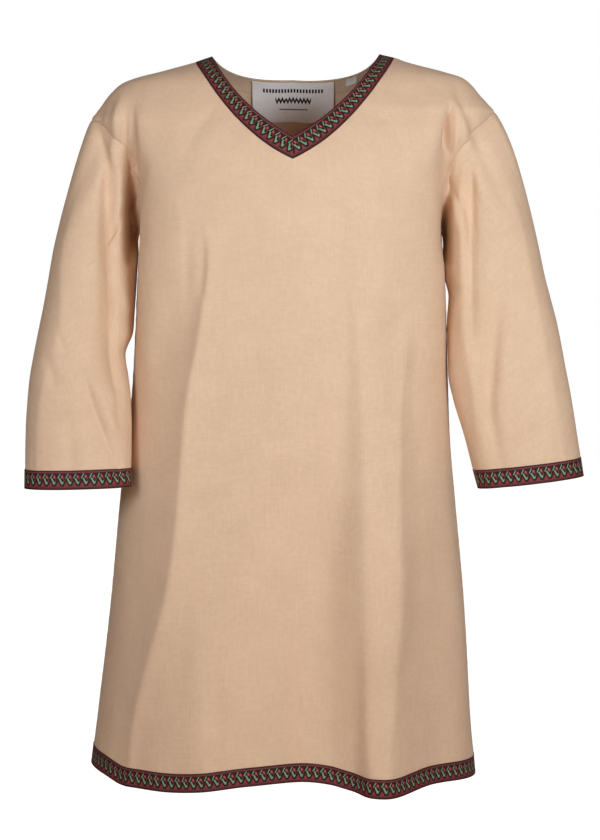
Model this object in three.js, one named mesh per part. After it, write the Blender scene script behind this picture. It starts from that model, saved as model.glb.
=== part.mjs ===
// A viking tunic, filled out as worn: sand cotton, wide sleeves to below the elbow, a V neck,
// and a woven braid at the neck, the cuffs and the hem.
//
// Millimetres. +Z up, +X to the viewer's right, and the front of the tunic faces -Y.
// The origin is the middle of the neck, level with the neck ends of the shoulder seams.
//
// Every piece of cloth is a sheet of grid points, thickened into one closed wall.
// The sheets share their points along each seam, so that neighbours meet edge to edge.
import * as THREE from "three";

// ---------------------------------------------------------------- driving dimensions
const CLOTH = 1.6; // wall of the tunic's cotton
const SEAM_GAP = 0.3; // between two pieces that are sewn edge to edge
const LIE_GAP = 0.3; // between a panel and what is sewn on it
const BRAID_WIDTH = 22;
const BRAID_WALL = 1.0;
const TAG_DROP = 1.2; // from the neck edge down to the top of a tag
const LABEL = { width: 100, height: 54, wall: 0.9 };
const SIZE_TAB = { x: 71, width: 13, height: 11, wall: 0.9 };
const LONGEST_MITRE = 1.8; // at the underarm, where the cloth doubles back, a longer one would cross
const ROUNDNESS = 2.3; // exponent of the body's and sleeves' cross sections: 2 is an ellipse
const UNDERARM_Z = -208;

// Horizontal sections of the body, hem first. left and right are the half widths,
// front and back the depths before and behind the side seams.
const BODY = [
  { z: -856, left: 243, right: 218, front: 146, back: 134 },
  { z: -770, left: 231.5, right: 210, front: 144, back: 132 },
  { z: -650, left: 217, right: 204, front: 139, back: 128 },
  { z: -530, left: 206, right: 193.5, front: 132, back: 122 },
  { z: -455, left: 198, right: 186.5, front: 128, back: 119 },
  { z: -392, left: 191, right: 184.5, front: 125, back: 117 },
  { z: -300, left: 187, right: 182, front: 121, back: 113 },
  { z: -208, left: 183, right: 178, front: 117, back: 111 },
  { z: -172, left: 185, right: 181, front: 114, back: 111 },
  { z: -141, left: 193, right: 190, front: 109, back: 110 },
  { z: -120, left: 204, right: 203, front: 104, back: 108 },
  { z: -102, left: 216, right: 218, front: 97, back: 105 },
  { z: -89, left: 227, right: 229, front: 91, back: 102 },
  { z: -76, left: 240, right: 236, front: 84, back: 98 },
  { z: -66, left: 234, right: 240, front: 79, back: 94 },
  { z: -56, left: 226, right: 232, front: 73, back: 90 },
  { z: -48, left: 220, right: 224, front: 68, back: 86 },
  { z: -34, left: 205, right: 212, front: 59, back: 78 },
  { z: -26, left: 187, right: 202, front: 52, back: 71 },
  { z: -19, left: 158, right: 181, front: 45, back: 62 },
  { z: -12, left: 132, right: 153, front: 37, back: 51 },
  { z: -7, left: 116, right: 134, front: 29, back: 39 },
  { z: -2, left: 101, right: 121, front: 18, back: 22 },
  { z: -0.5, left: 96, right: 112, front: 14, back: 17 },
  { z: 2, left: 88, right: 103, front: 8, back: 9 },
];

// The armhole seams seen from the front: from the underarm up to the tip of the shoulder.
const ARMHOLES = {
  left: [
    { out: 183, z: -208 },
    { out: 181.5, z: -190 },
    { out: 181, z: -170 },
    { out: 183.5, z: -140 },
    { out: 193, z: -119 },
    { out: 205, z: -101 },
    { out: 221, z: -87 },
    { out: 240, z: -76 },
  ],
  right: [
    { out: 178, z: -208 },
    { out: 175.5, z: -188 },
    { out: 175.5, z: -166 },
    { out: 183, z: -135 },
    { out: 192.5, z: -117 },
    { out: 204, z: -103 },
    { out: 219, z: -87 },
    { out: 240, z: -66 },
  ],
};

// The neck seen from the front, as quadratic Bezier curves from the shoulder to the middle.
const NECK = {
  front: {
    left: { edge: [[96, -0.5], [66, -63], [0, -101.5]], braid: [[116, -7], [65.5, -98], [0, -128]] },
    right: { edge: [[103, 2], [67, -63], [0, -101.5]], braid: [[121, -2], [68, -96], [0, -128]] },
  },
  back: {
    left: { edge: [[96, -0.5], [77, -25], [0, -22.5]], braid: [[116, -7], [92, -40], [0, -39]] },
    right: { edge: [[103, 2], [84, -27], [0, -22.5]], braid: [[121, -2], [99, -41], [0, -39]] },
  },
};

// How the hem hangs round the body, front and back.
const HEMS = {
  front: [
    { x: -243, z: -843 },
    { x: -224, z: -848 },
    { x: -195, z: -857 },
    { x: -150, z: -858 },
    { x: -109, z: -855.5 },
    { x: -54, z: -849 },
    { x: 1, z: -847 },
    { x: 45, z: -851 },
    { x: 84, z: -859 },
    { x: 111, z: -861 },
    { x: 167, z: -855 },
    { x: 218, z: -856 },
  ],
  back: [
    { x: -243, z: -843 },
    { x: -120, z: -852 },
    { x: 0, z: -848 },
    { x: 110, z: -853 },
    { x: 218, z: -856 },
  ],
};

// Sleeve sections below the underarm, cuff last. outer, innerFront and innerBack are distances
// from the middle of the body; front and back are the limits in Y.
const SLEEVES = {
  left: {
    side: -1,
    cuffTilt: -0.02,
    fullness: 0.4,
    rows: [
      { z: -236, outer: 284.5, innerFront: 197, innerBack: 185.5, front: -64, back: 44 },
      { z: -270, outer: 290.5, innerFront: 194, innerBack: 187, front: -70, back: 38 },
      { z: -300, outer: 296, innerFront: 191, innerBack: 188.7, front: -76, back: 30 },
      { z: -326, outer: 301, innerFront: 198, innerBack: 190, front: -82, back: 21 },
      { z: -355, outer: 306, innerFront: 202, innerBack: 199, front: -88, back: 11 },
      { z: -380, outer: 309.5, innerFront: 198, innerBack: 195.5, front: -94, back: 3 },
      { z: -406, outer: 311, innerFront: 190, innerBack: 192.5, front: -101, back: -6 },
      { z: -440, outer: 312, innerFront: 187, innerBack: 191.5, front: -108, back: -17 },
      { z: -508, outer: 312, innerFront: 188, innerBack: 193, front: -122, back: -36 },
    ],
  },
  right: {
    side: 1,
    cuffTilt: 0.12,
    fullness: 0.65,
    rows: [
      { z: -236, outer: 293.5, innerFront: 185, innerBack: 180.8, front: -62, back: 44 },
      { z: -262, outer: 298.5, innerFront: 187, innerBack: 181.8, front: -66, back: 40 },
      { z: -284, outer: 303.5, innerFront: 190, innerBack: 186.5, front: -71, back: 34 },
      { z: -316, outer: 311, innerFront: 188, innerBack: 184.4, front: -77, back: 26 },
      { z: -372, outer: 321, innerFront: 183, innerBack: 185.8, front: -84, back: 14 },
      { z: -400, outer: 326.5, innerFront: 190, innerBack: 191, front: -86, back: 9 },
      { z: -440, outer: 333, innerFront: 201, innerBack: 203, front: -88, back: 3 },
      { z: -504, outer: 343, innerFront: 219.5, innerBack: 220, front: -90, back: -4 },
    ],
  },
};

// The largest folds, each along a line seen from the front: from (x0, z0) to (x1, z1), half as wide
// as "half", rising h0 mm out of the cloth at its start and h1 at its end. Troughs are negative.
const FOLDS = {
  front: [
    { name: "right hem ridge", x0: 108, z0: -540, x1: 113, z1: -860, half: 24, h0: 2, h1: 14 },
    { name: "trough beside it", x0: 84, z0: -560, x1: 76, z1: -860, half: 22, h0: 0, h1: -7 },
    { name: "right side trough", x0: 166, z0: -500, x1: 174, z1: -860, half: 32, h0: 0, h1: -12 },
    { name: "middle trough", x0: 20, z0: -480, x1: 6, z1: -860, half: 52, h0: 0, h1: -15 },
    { name: "left hem ridge", x0: -105, z0: -480, x1: -112, z1: -860, half: 44, h0: 1, h1: 7 },
    { name: "left side trough", x0: -172, z0: -560, x1: -190, z1: -860, half: 26, h0: 0, h1: -7 },
    { name: "left armpit valley", x0: -200, z0: -62, x1: -184, z1: -150, half: 10, h0: 0, h1: -12 },
    { name: "left shoulder ridge", x0: -205, z0: -52, x1: -203, z1: -150, half: 9, h0: 1, h1: 4 },
    { name: "right armpit valley", x0: 191, z0: -62, x1: 184, z1: -138, half: 10, h0: 0, h1: -11 },
    { name: "right shoulder ridge", x0: 200, z0: -48, x1: 201, z1: -150, half: 10, h0: 1, h1: 3 },
    { name: "left sleeve trough", x0: -226, z0: -170, x1: -223, z1: -360, half: 13, h0: -3, h1: -4 },
    { name: "left elbow fold", x0: -246, z0: -395, x1: -212, z1: -490, half: 9, h0: -2, h1: -4 },
    { name: "right sleeve trough", x0: 216, z0: -170, x1: 226, z1: -380, half: 12, h0: -3, h1: -4 },
    { name: "right elbow fold", x0: 262, z0: -260, x1: 272, z1: -400, half: 14, h0: -2, h1: -3 },
  ],
  back: [
    { name: "middle hem ridge", x0: -6, z0: -420, x1: -10, z1: -860, half: 40, h0: 0, h1: 14 },
    { name: "left hem trough", x0: -78, z0: -460, x1: -88, z1: -860, half: 32, h0: 0, h1: -13 },
    { name: "right hem trough", x0: 70, z0: -460, x1: 76, z1: -860, half: 32, h0: 0, h1: -13 },
    { name: "left hem ridge", x0: -148, z0: -420, x1: -158, z1: -860, half: 34, h0: 0, h1: 9 },
    { name: "right hem ridge", x0: 138, z0: -420, x1: 146, z1: -860, half: 34, h0: 0, h1: 9 },
    { name: "left armpit valley", x0: -200, z0: -72, x1: -188, z1: -145, half: 12, h0: 0, h1: -8 },
    { name: "right armpit valley", x0: 198, z0: -72, x1: 186, z1: -145, half: 12, h0: 0, h1: -8 },
    { name: "left sleeve trough", x0: -240, z0: -180, x1: -250, z1: -420, half: 14, h0: -3, h1: -4 },
    { name: "right sleeve trough", x0: 240, z0: -180, x1: 262, z1: -420, half: 14, h0: -3, h1: -4 },
  ],
};
const FOLD_FULL_DEPTH = 28; // a fold has its full height this far before or behind the side seams

// Grid counts: columns across half a panel, rows up a panel, and rows down a sleeve.
const COLUMNS = { shoulder: 8, neck: 9, neckShare: 0.52 };
const ROWS = { skirt: 11, armhole: 11, neckBraid: 2, ridgeCrowding: 2.0 };
const SLEEVE_ROWS = { cap: 6, tube: 12 };

// ---------------------------------------------------------------- small helpers
const vec = (x, y, z) => new THREE.Vector3(x, y, z);
const lerp = THREE.MathUtils.lerp;
const range = (from, to) => Array.from({ length: to - from + 1 }, (_, i) => from + i);

// A smooth curve through a table's rows that never overshoots them.
function curve(rows, key, value) {
  const sorted = [...rows].sort((a, b) => a[key] - b[key]);
  const x = sorted.map((row) => row[key]);
  const y = sorted.map((row) => row[value]);
  const slopes = x.slice(1).map((_, i) => (y[i + 1] - y[i]) / (x[i + 1] - x[i]));
  const tangents = x.map((_, i) => {
    if (i === 0) return slopes[0];
    if (i === x.length - 1) return slopes[i - 1];
    const before = slopes[i - 1];
    const after = slopes[i];
    return before * after <= 0 ? 0 : (2 * before * after) / (before + after);
  });
  return (at) => {
    if (at <= x[0]) return y[0];
    if (at >= x[x.length - 1]) return y[x.length - 1];
    const i = x.findIndex((end, k) => k > 0 && at <= end) - 1;
    const width = x[i + 1] - x[i];
    const t = (at - x[i]) / width;
    const h00 = (1 + 2 * t) * (1 - t) ** 2;
    const h10 = t * (1 - t) ** 2;
    const h01 = t * t * (3 - 2 * t);
    const h11 = t * t * (t - 1);
    return h00 * y[i] + h10 * width * tangents[i] + h01 * y[i + 1] + h11 * width * tangents[i + 1];
  };
}

function bezier([a, b, c], t) {
  const s = 1 - t;
  return [0, 1].map((k) => s * s * a[k] + 2 * s * t * b[k] + t * t * c[k]);
}

// A signed power, for superellipses.
const bow = (value, power) => Math.sign(value) * Math.abs(value) ** power;

// ---------------------------------------------------------------- the form the cloth takes
const halfWidth = { left: curve(BODY, "z", "left"), right: curve(BODY, "z", "right") };
const depth = { front: curve(BODY, "z", "front"), back: curve(BODY, "z", "back") };
const hemZ = { front: curve(HEMS.front, "x", "z"), back: curve(HEMS.back, "x", "z") };

const sideOf = (x) => (x < 0 ? "left" : "right");
const facing = { front: -1, back: 1 }; // the sign of Y on each face

// How far the folds lift the cloth at a point of a face.
function foldHeight(face, x, z, outOfSide) {
  const near = THREE.MathUtils.smoothstep(outOfSide, 0, FOLD_FULL_DEPTH);
  return FOLDS[face].reduce((sum, fold) => {
    const dx = fold.x1 - fold.x0;
    const dz = fold.z1 - fold.z0;
    const along = ((x - fold.x0) * dx + (z - fold.z0) * dz) / (dx * dx + dz * dz);
    const s = THREE.MathUtils.clamp(along, 0, 1);
    const distance = Math.hypot(x - fold.x0 - s * dx, z - fold.z0 - s * dz);
    return sum + near * lerp(fold.h0, fold.h1, s) * Math.exp(-((distance / fold.half) ** 2));
  }, 0);
}

// The point of the body's front or back that is seen at (x, z) from the front.
function bodyPoint(face, x, z) {
  const share = Math.min(1, Math.abs(x) / halfWidth[sideOf(x)](z));
  const out = depth[face](z) * (1 - share ** ROUNDNESS) ** (1 / ROUNDNESS);
  return vec(x, facing[face] * (out + foldHeight(face, x, z, out)), z);
}

// The shoulder's ridge from the neck braid to the tip, as points evenly spaced along it.
function shoulderRidge(side) {
  const [neckX, neckZ] = NECK.front[side].braid[0];
  const tipZ = ARMHOLES[side][ARMHOLES[side].length - 1].z;
  const steps = 60;
  const points = Array.from({ length: steps + 1 }, (_, i) => {
    const z = lerp(neckZ, tipZ, (i / steps) ** 1.5);
    return new THREE.Vector2(i ? halfWidth[side](z) : neckX, z);
  });
  const line = new THREE.CatmullRomCurve3(points.map((p) => vec(p.x, p.y, 0)));
  return (t) => {
    const p = line.getPointAt(t);
    return [p.x, p.y];
  };
}

function armhole(side) {
  const rows = ARMHOLES[side];
  const line = new THREE.CatmullRomCurve3(rows.map((p) => vec(p.out, p.z, 0)));
  const ends = [rows[0], rows[rows.length - 1]].map((p) => [halfWidth[side](p.z), p.z]);
  return (t) => {
    if (t === 0 || t === 1) return ends[t];
    const p = line.getPointAt(t);
    return [Math.min(p.x, halfWidth[side](p.y) - 0.5), p.y];
  };
}

const RIDGE = { left: shoulderRidge("left"), right: shoulderRidge("right") };
const ARM_SEAM = { left: armhole("left"), right: armhole("right") };

// ---------------------------------------------------------------- front and back panels
// A column of a panel: its share of the body's half width, 1 at a side seam and 0 in the middle.
// "end" is its place at the top: 0 to 1 along the shoulder ridge from the neck, or along the neck braid.
function panelColumns() {
  const half = [];
  for (let i = 0; i <= COLUMNS.shoulder; i++) {
    const t = 1 - i / COLUMNS.shoulder;
    const share = 1 - (1 - COLUMNS.neckShare) * (1 - t) ** 1.35;
    half.push({ share, onShoulder: true, end: t });
  }
  for (let i = 1; i <= COLUMNS.neck; i++) {
    const t = i / COLUMNS.neck;
    half.push({ share: COLUMNS.neckShare * (1 - t), onShoulder: false, end: t });
  }
  const left = half.map((c) => ({ ...c, side: "left", sign: -1 }));
  const right = half.slice(0, -1).reverse().map((c) => ({ ...c, side: "right", sign: 1 }));
  return [...left, ...right];
}

const PANEL_COLUMNS = panelColumns();

function topOfColumn(face, column) {
  if (column.onShoulder) return RIDGE[column.side](column.end);
  return bezier(NECK[face][column.side].braid, column.end);
}

// The grid of a panel: rows of points from the hem up. Row names keep the seams findable.
function panelGrid(face) {
  const rows = [];

  // The skirt, from the hem to the underarm. The first row up is the top of the hem braid.
  for (let j = 0; j < ROWS.skirt; j++) {
    rows.push(
      PANEL_COLUMNS.map((column) => {
        const share = column.sign * column.share;
        const hem = hemZ[face](share * halfWidth[column.side](BODY[0].z));
        const braidTop = hem + BRAID_WIDTH;
        const z = j === 0 ? hem : lerp(braidTop, UNDERARM_Z, (j - 1) / (ROWS.skirt - 1));
        return bodyPoint(face, share * halfWidth[column.side](z), z);
      }),
    );
  }

  // From the underarm to the shoulder ridge and the lower edge of the neck braid.
  for (let j = 0; j <= ROWS.armhole; j++) {
    const t = j / ROWS.armhole;
    const rise = 1 - (1 - t) ** ROWS.ridgeCrowding;
    rows.push(
      PANEL_COLUMNS.map((column) => {
        const underX = column.share * halfWidth[column.side](UNDERARM_Z);
        const [topX, topZ] = topOfColumn(face, column);
        const [sideX, sideZ] = ARM_SEAM[column.side](t);
        const [cornerX, cornerZ] = RIDGE[column.side](1);
        const pull = column.onShoulder ? column.end ** 2 : 0;
        const x = lerp(underX, topX, rise) +
          pull * (sideX - lerp(halfWidth[column.side](UNDERARM_Z), cornerX, rise));
        const z = lerp(UNDERARM_Z, topZ, rise) + pull * (sideZ - lerp(UNDERARM_Z, cornerZ, rise));
        return bodyPoint(face, column.sign * x, z);
      }),
    );
  }

  // Under the neck braid, for the neck columns only: null marks a column that has ended.
  for (let j = 1; j <= ROWS.neckBraid; j++) {
    const t = j / ROWS.neckBraid;
    rows.push(
      PANEL_COLUMNS.map((column) => {
        const along = column.onShoulder ? 0 : column.end;
        if (column.onShoulder && column.end > 0) return null;
        const outer = bezier(NECK[face][column.side].braid, along);
        const inner = bezier(NECK[face][column.side].edge, along);
        const spot = [column.sign * lerp(outer[0], inner[0], t), lerp(outer[1], inner[1], t)];
        if (column.onShoulder) return vec(spot[0], 0, spot[1]);
        return bodyPoint(face, ...spot);
      }),
    );
  }
  return rows;
}

// ---------------------------------------------------------------- sleeves
const SHOULDER_ROW = ROWS.skirt + ROWS.armhole; // the row that ends in the tip of the shoulder
const ringSize = 2 * ROWS.armhole;

// The armhole as a closed ring: tip, down the front, underarm, up the back.
function armholeRing(grids, side, inward = 0) {
  const at = side === "left" ? inward : PANEL_COLUMNS.length - 1 - inward;
  const front = grids.front.slice(ROWS.skirt, SHOULDER_ROW + 1).map((row) => row[at]).reverse();
  const back = grids.back.slice(ROWS.skirt, SHOULDER_ROW + 1).map((row) => row[at]);
  return [...front, ...back.slice(1, -1)];
}

// One closed section of a sleeve, with its points in the armhole ring's order.
function sleeveSection(sleeve, z) {
  const at = (name) => curve(sleeve.rows, "z", name)(z);
  const low = sleeve.rows[sleeve.rows.length - 1].z;
  const cuffness = THREE.MathUtils.smoothstep(-z, UNDERARM_Z * -1, -low);
  const ring = [];
  for (let i = 0; i < ringSize; i++) {
    const angle = (2 * Math.PI * i) / ringSize;
    const toFront = Math.sin(angle);
    const frontness = THREE.MathUtils.smoothstep(toFront, -0.2, 0.9);
    const inner = lerp(at("innerBack"), at("innerFront"), frontness);
    const middle = (at("outer") + inner) / 2;
    const across = bow(Math.cos(angle), 2 / ROUNDNESS) * (at("outer") - inner) / 2;
    const x = sleeve.side * (middle + across);
    const middleY = (at("front") + at("back")) / 2;
    const out = Math.abs(bow(toFront, 2 / ROUNDNESS)) * (at("back") - at("front")) / 2;
    const face = toFront > 0 ? "front" : "back";
    const y = middleY + facing[face] * (out + foldHeight(face, x, z, out));
    ring.push(vec(x, y, z + cuffness * sleeve.cuffTilt * across));
  }
  return ring;
}

function sleeveGrid(grids, side) {
  const sleeve = SLEEVES[side];
  const start = armholeRing(grids, side);
  const inside = armholeRing(grids, side, 2);
  const top = sleeve.rows[0].z;
  const low = sleeve.rows[sleeve.rows.length - 1].z;
  const first = sleeveSection(sleeve, top);
  const next = sleeveSection(sleeve, top - 20);
  const rows = [];

  // The cap: each line leaves the armhole the way the body's cloth reaches it, then turns down.
  for (let j = 0; j < SLEEVE_ROWS.cap; j++) {
    const t = j / SLEEVE_ROWS.cap;
    rows.push(
      start.map((from, i) => {
        const to = first[i];
        const reach = from.distanceTo(to);
        const leave = from.clone().sub(inside[i]).normalize();
        const fromUnderarm = Math.abs(i - ringSize / 2);
        const under = THREE.MathUtils.smoothstep(4 - fromUnderarm, 0, 4);
        leave.lerp(vec(sleeve.side * 0.8, 0, -0.6), under).normalize();
        const fullness = lerp(0.8, sleeve.fullness, (1 + Math.cos((2 * Math.PI * i) / ringSize)) / 2);
        const arrive = next[i].clone().sub(to).normalize();
        const h00 = (1 + 2 * t) * (1 - t) ** 2;
        const h01 = t * t * (3 - 2 * t);
        return from.clone().multiplyScalar(h00)
          .addScaledVector(to, h01)
          .addScaledVector(leave, reach * fullness * t * (1 - t) ** 2)
          .addScaledVector(arrive, reach * 0.8 * t * t * (t - 1));
      }),
    );
  }
  for (let j = 0; j < SLEEVE_ROWS.tube; j++) {
    const z = lerp(top, low + BRAID_WIDTH, j / (SLEEVE_ROWS.tube - 1));
    rows.push(sleeveSection(sleeve, z));
  }
  rows.push(sleeveSection(sleeve, low));
  return rows;
}

// ---------------------------------------------------------------- sheets and walls
// A sheet is a list of points and quads with their outward side given by the point order.
function sheetOf(rows, { closed = false, flip = false } = {}) {
  const index = new Map();
  const points = [];
  rows.forEach((row, j) =>
    row.forEach((point, i) => {
      if (!point) return;
      index.set(`${j},${i}`, points.length);
      points.push(point.clone());
    }),
  );
  const quads = [];
  for (let j = 0; j + 1 < rows.length; j++) {
    const count = rows[j].length;
    for (let i = 0; i < (closed ? count : count - 1); i++) {
      const k = (i + 1) % count;
      const corners = [[j, i], [j, k], [j + 1, k], [j + 1, i]].map((c) => index.get(c.join(",")));
      if (corners.some((c) => c === undefined)) continue;
      quads.push(flip ? corners.reverse() : corners);
    }
  }
  return { points, quads, index };
}

function sheetNormals({ points, quads }) {
  const normals = points.map(() => vec(0, 0, 0));
  for (const [a, b, c, d] of quads) {
    const across = points[c].clone().sub(points[a]);
    const other = points[d].clone().sub(points[b]);
    const n = across.cross(other);
    for (const corner of [a, b, c, d]) normals[corner].add(n);
  }
  return normals.map((n) => n.normalize());
}

// The vector that keeps a wall's thickness where two sheets meet at an angle.
function mitre(one, two) {
  const sum = one.clone().add(two);
  return sum.multiplyScalar(2 / sum.lengthSq()).clampLength(0, LONGEST_MITRE);
}

// A closed wall between two copies of a sheet, "from" and "to" mm out along its normals.
function wall(sheet, normals, from, to) {
  const count = sheet.points.length;
  const used = new Set(sheet.quads.flat());
  const place = new Map([...used].map((v, i) => [v, i]));
  const positions = [];
  for (const out of [from, to]) {
    for (const v of used) {
      const p = sheet.points[v].clone().addScaledVector(normals[v], out);
      positions.push(p.x, p.y, p.z);
    }
  }
  const size = used.size;
  const inner = (v) => place.get(v);
  const outer = (v) => place.get(v) + size;
  const faces = [];
  const edges = new Map();
  for (const [a, b, c, d] of sheet.quads) {
    // The shorter diagonal keeps the two skins parallel and smooth.
    const short = sheet.points[a].distanceTo(sheet.points[c]) <= sheet.points[b].distanceTo(sheet.points[d]);
    const split = short ? [[a, b, c], [a, c, d]] : [[a, b, d], [b, c, d]];
    for (const [p, q, r] of split) {
      faces.push(outer(p), outer(q), outer(r), inner(p), inner(r), inner(q));
    }
    for (const [p, q] of [[a, b], [b, c], [c, d], [d, a]]) {
      if (edges.has(q * count + p)) edges.delete(q * count + p);
      else edges.set(p * count + q, [p, q]);
    }
  }
  for (const [p, q] of edges.values()) {
    faces.push(inner(p), inner(q), outer(q), inner(p), outer(q), outer(p));
  }
  const geometry = new THREE.BufferGeometry();
  geometry.setAttribute("position", new THREE.Float32BufferAttribute(positions, 3));
  geometry.setIndex(faces);
  geometry.computeVertexNormals();
  return geometry;
}

// ---------------------------------------------------------------- seams
const grids = { front: panelGrid("front"), back: panelGrid("back") };
const sleeveRows = { left: sleeveGrid(grids, "left"), right: sleeveGrid(grids, "right") };
const lastColumn = PANEL_COLUMNS.length - 1;

const panels = {
  front: sheetOf(grids.front),
  back: sheetOf(grids.back, { flip: true }),
};
const sleeves = {
  left: sheetOf(sleeveRows.left, { closed: true, flip: true }),
  right: sheetOf(sleeveRows.right, { closed: true }),
};
const panelNormals = { front: sheetNormals(panels.front), back: sheetNormals(panels.back) };
const sleeveNormals = { left: sheetNormals(sleeves.left), right: sheetNormals(sleeves.right) };

// Where each face's points lie on the armhole ring of a side: pairs of grid row and ring place.
function ringPlaces(face) {
  const places = [];
  for (let k = 0; k <= ROWS.armhole; k++) {
    const row = SHOULDER_ROW - k;
    places.push({ row, ring: face === "front" ? k : (ringSize - k) % ringSize });
  }
  return places;
}

// The places of the other seams in the panels' grids, without the ends that the armholes share.
const onEdge = (column) => column === 0 || column === lastColumn;
const onSideSeam = (row, column) => row < ROWS.skirt && onEdge(column);
const onShoulderSeam = (row, column) =>
  row >= SHOULDER_ROW && PANEL_COLUMNS[column].onShoulder && !onEdge(column);

// Both sides of a seam take one shared normal, so that their rims face each other squarely.
function shareSeamNormals() {
  const at = (face, row, column) => panelNormals[face][panels[face].index.get(`${row},${column}`)];
  for (const side of ["left", "right"]) {
    const column = side === "left" ? 0 : lastColumn;
    sleeveRows[side][0].forEach((_, ring) => {
      const mine = sleeveNormals[side][sleeves[side].index.get(`0,${ring}`)];
      const places = ["front", "back"].flatMap((face) =>
        ringPlaces(face).filter((p) => p.ring === ring).map((p) => at(face, p.row, column)),
      );
      const theirs = places.reduce((sum, n) => sum.add(n), vec(0, 0, 0)).normalize();
      const shared = mitre(mine, theirs);
      if (places.length === 2) shared.y = 0;
      for (const normal of [mine, ...places]) normal.copy(shared);
    });
  }
  // The side seams and the shoulder seams.
  panels.front.index.forEach((_, key) => {
    const [row, column] = key.split(",").map(Number);
    if (!onSideSeam(row, column) && !onShoulderSeam(row, column)) return;
    const shared = mitre(at("front", row, column), at("back", row, column));
    for (const face of ["front", "back"]) at(face, row, column).copy(shared);
  });
}

// Each piece's sewn edges are drawn back by half the seam gap, square to the seam.
function openSeams() {
  const half = SEAM_GAP / 2;
  for (const side of ["left", "right"]) {
    const column = side === "left" ? 0 : lastColumn;
    const inward = side === "left" ? 1 : -1;
    const ringPoints = sleeveRows[side][0];
    ringPoints.forEach((point, ring) => {
      const next = ringPoints[(ring + 1) % ringSize];
      const before = ringPoints[(ring + ringSize - 1) % ringSize];
      const v = sleeves[side].index.get(`0,${ring}`);
      const across = next.clone().sub(before).cross(sleeveNormals[side][v]).normalize();
      const outwards = sleeveRows[side][1][ring].clone().sub(point);
      if (across.dot(outwards) < 0) across.negate();
      sleeves[side].points[v].addScaledVector(across, half);
      for (const face of ["front", "back"]) {
        const place = ringPlaces(face).find((p) => p.ring === ring);
        if (!place) continue;
        const index = panels[face].index.get(`${place.row},${column}`);
        panels[face].points[index].addScaledVector(across, -half);
      }
    });
  }
  const armholeEnds = [ROWS.skirt, SHOULDER_ROW];
  for (const face of ["front", "back"]) {
    panels[face].index.forEach((v, key) => {
      const [row, column] = key.split(",").map(Number);
      const armholeEnd = onEdge(column) && armholeEnds.includes(row);
      const sewn = onSideSeam(row, column) || onShoulderSeam(row, column) || armholeEnd;
      if (sewn) panels[face].points[v].y += facing[face] * half;
    });
  }
}

shareSeamNormals();
openSeams();

// ---------------------------------------------------------------- what is sewn on the panels
const OUT = CLOTH / 2 + LIE_GAP; // from a sheet's middle to the near side of what lies on it

// A grid point of a piece with its normal.
const panelSpot = (face, row, column) => {
  const v = panels[face].index.get(`${row},${column}`);
  return { point: panels[face].points[v], normal: panelNormals[face][v] };
};
const sleeveSpot = (side, row, ring) => {
  const v = sleeves[side].index.get(`${row},${ring}`);
  return { point: sleeves[side].points[v], normal: sleeveNormals[side][v] };
};
const midway = (one, two) => ({
  point: one.point.clone().lerp(two.point, 0.5),
  normal: one.normal.clone().lerp(two.normal, 0.5),
});

// A braid over rows of spots, on their outer side.
function band(rows, options) {
  const sheet = sheetOf(rows.map((row) => row.map((spot) => spot.point)), options);
  const normals = rows.flat().map((spot) => spot.normal);
  return wall(sheet, normals, OUT, OUT + BRAID_WALL);
}

const middleColumn = COLUMNS.shoulder + COLUMNS.neck;
const neckRows = range(SHOULDER_ROW, SHOULDER_ROW + ROWS.neckBraid);

// A length of the front neck braid, from the V's tip to the shoulder, mitred at the tip.
function frontNeckRow(row, side) {
  const step = side === "left" ? -1 : 1;
  const shift = vec((step * SEAM_GAP) / 2, 0, 0);
  return range(0, COLUMNS.neck).map((k) => {
    const spot = panelSpot("front", row, middleColumn + step * k);
    return k ? spot : { point: spot.point.clone().add(shift), normal: spot.normal };
  });
}

// The long neck braid runs up the left front and round the back to the right shoulder.
function longNeckBraid() {
  const rows = neckRows.map((row) => {
    const front = frontNeckRow(row, "left");
    const back = range(COLUMNS.shoulder, lastColumn - COLUMNS.shoulder).map((c) => panelSpot("back", row, c));
    return [...front.slice(0, -1), midway(front[front.length - 1], back[0]), ...back.slice(1)];
  });
  return band(rows, { flip: true });
}

const shortNeckBraid = () => band(neckRows.map((row) => frontNeckRow(row, "right")));

function hemBraid() {
  const rows = [0, 1].map((row) => [
    midway(panelSpot("front", row, 0), panelSpot("back", row, 0)),
    ...range(1, lastColumn - 1).map((c) => panelSpot("front", row, c)),
    midway(panelSpot("front", row, lastColumn), panelSpot("back", row, lastColumn)),
    ...range(1, lastColumn - 1).reverse().map((c) => panelSpot("back", row, c)),
  ]);
  return band(rows, { closed: true });
}

function cuffBraid(side) {
  const last = sleeveRows[side].length - 1;
  const rows = [last - 1, last].map((row) => range(0, ringSize - 1).map((i) => sleeveSpot(side, row, i)));
  return band(rows, { closed: true, flip: side === "left" });
}

// The spot on a panel that is seen at (x, z) from the front, between its grid points.
function spotOn(face, x, z) {
  const { points, quads } = panels[face];
  for (const [a, b, c, d] of quads) {
    const short = points[a].distanceTo(points[c]) <= points[b].distanceTo(points[d]);
    for (const corners of short ? [[a, b, c], [a, c, d]] : [[a, b, d], [b, c, d]]) {
      const [p, q, r] = corners.map((v) => points[v]);
      const area = (q.x - p.x) * (r.z - p.z) - (r.x - p.x) * (q.z - p.z);
      const u = ((q.x - x) * (r.z - z) - (r.x - x) * (q.z - z)) / area;
      const v = ((r.x - x) * (p.z - z) - (p.x - x) * (r.z - z)) / area;
      const weights = [u, v, 1 - u - v];
      if (Math.min(...weights) < -1e-6) continue;
      const mix = (list) =>
        corners.reduce((sum, corner, k) => sum.addScaledVector(list[corner], weights[k]), vec(0, 0, 0));
      return { point: mix(points), normal: mix(panelNormals[face]) };
    }
  }
  throw new Error(`no panel at ${x}, ${z}`);
}

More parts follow.
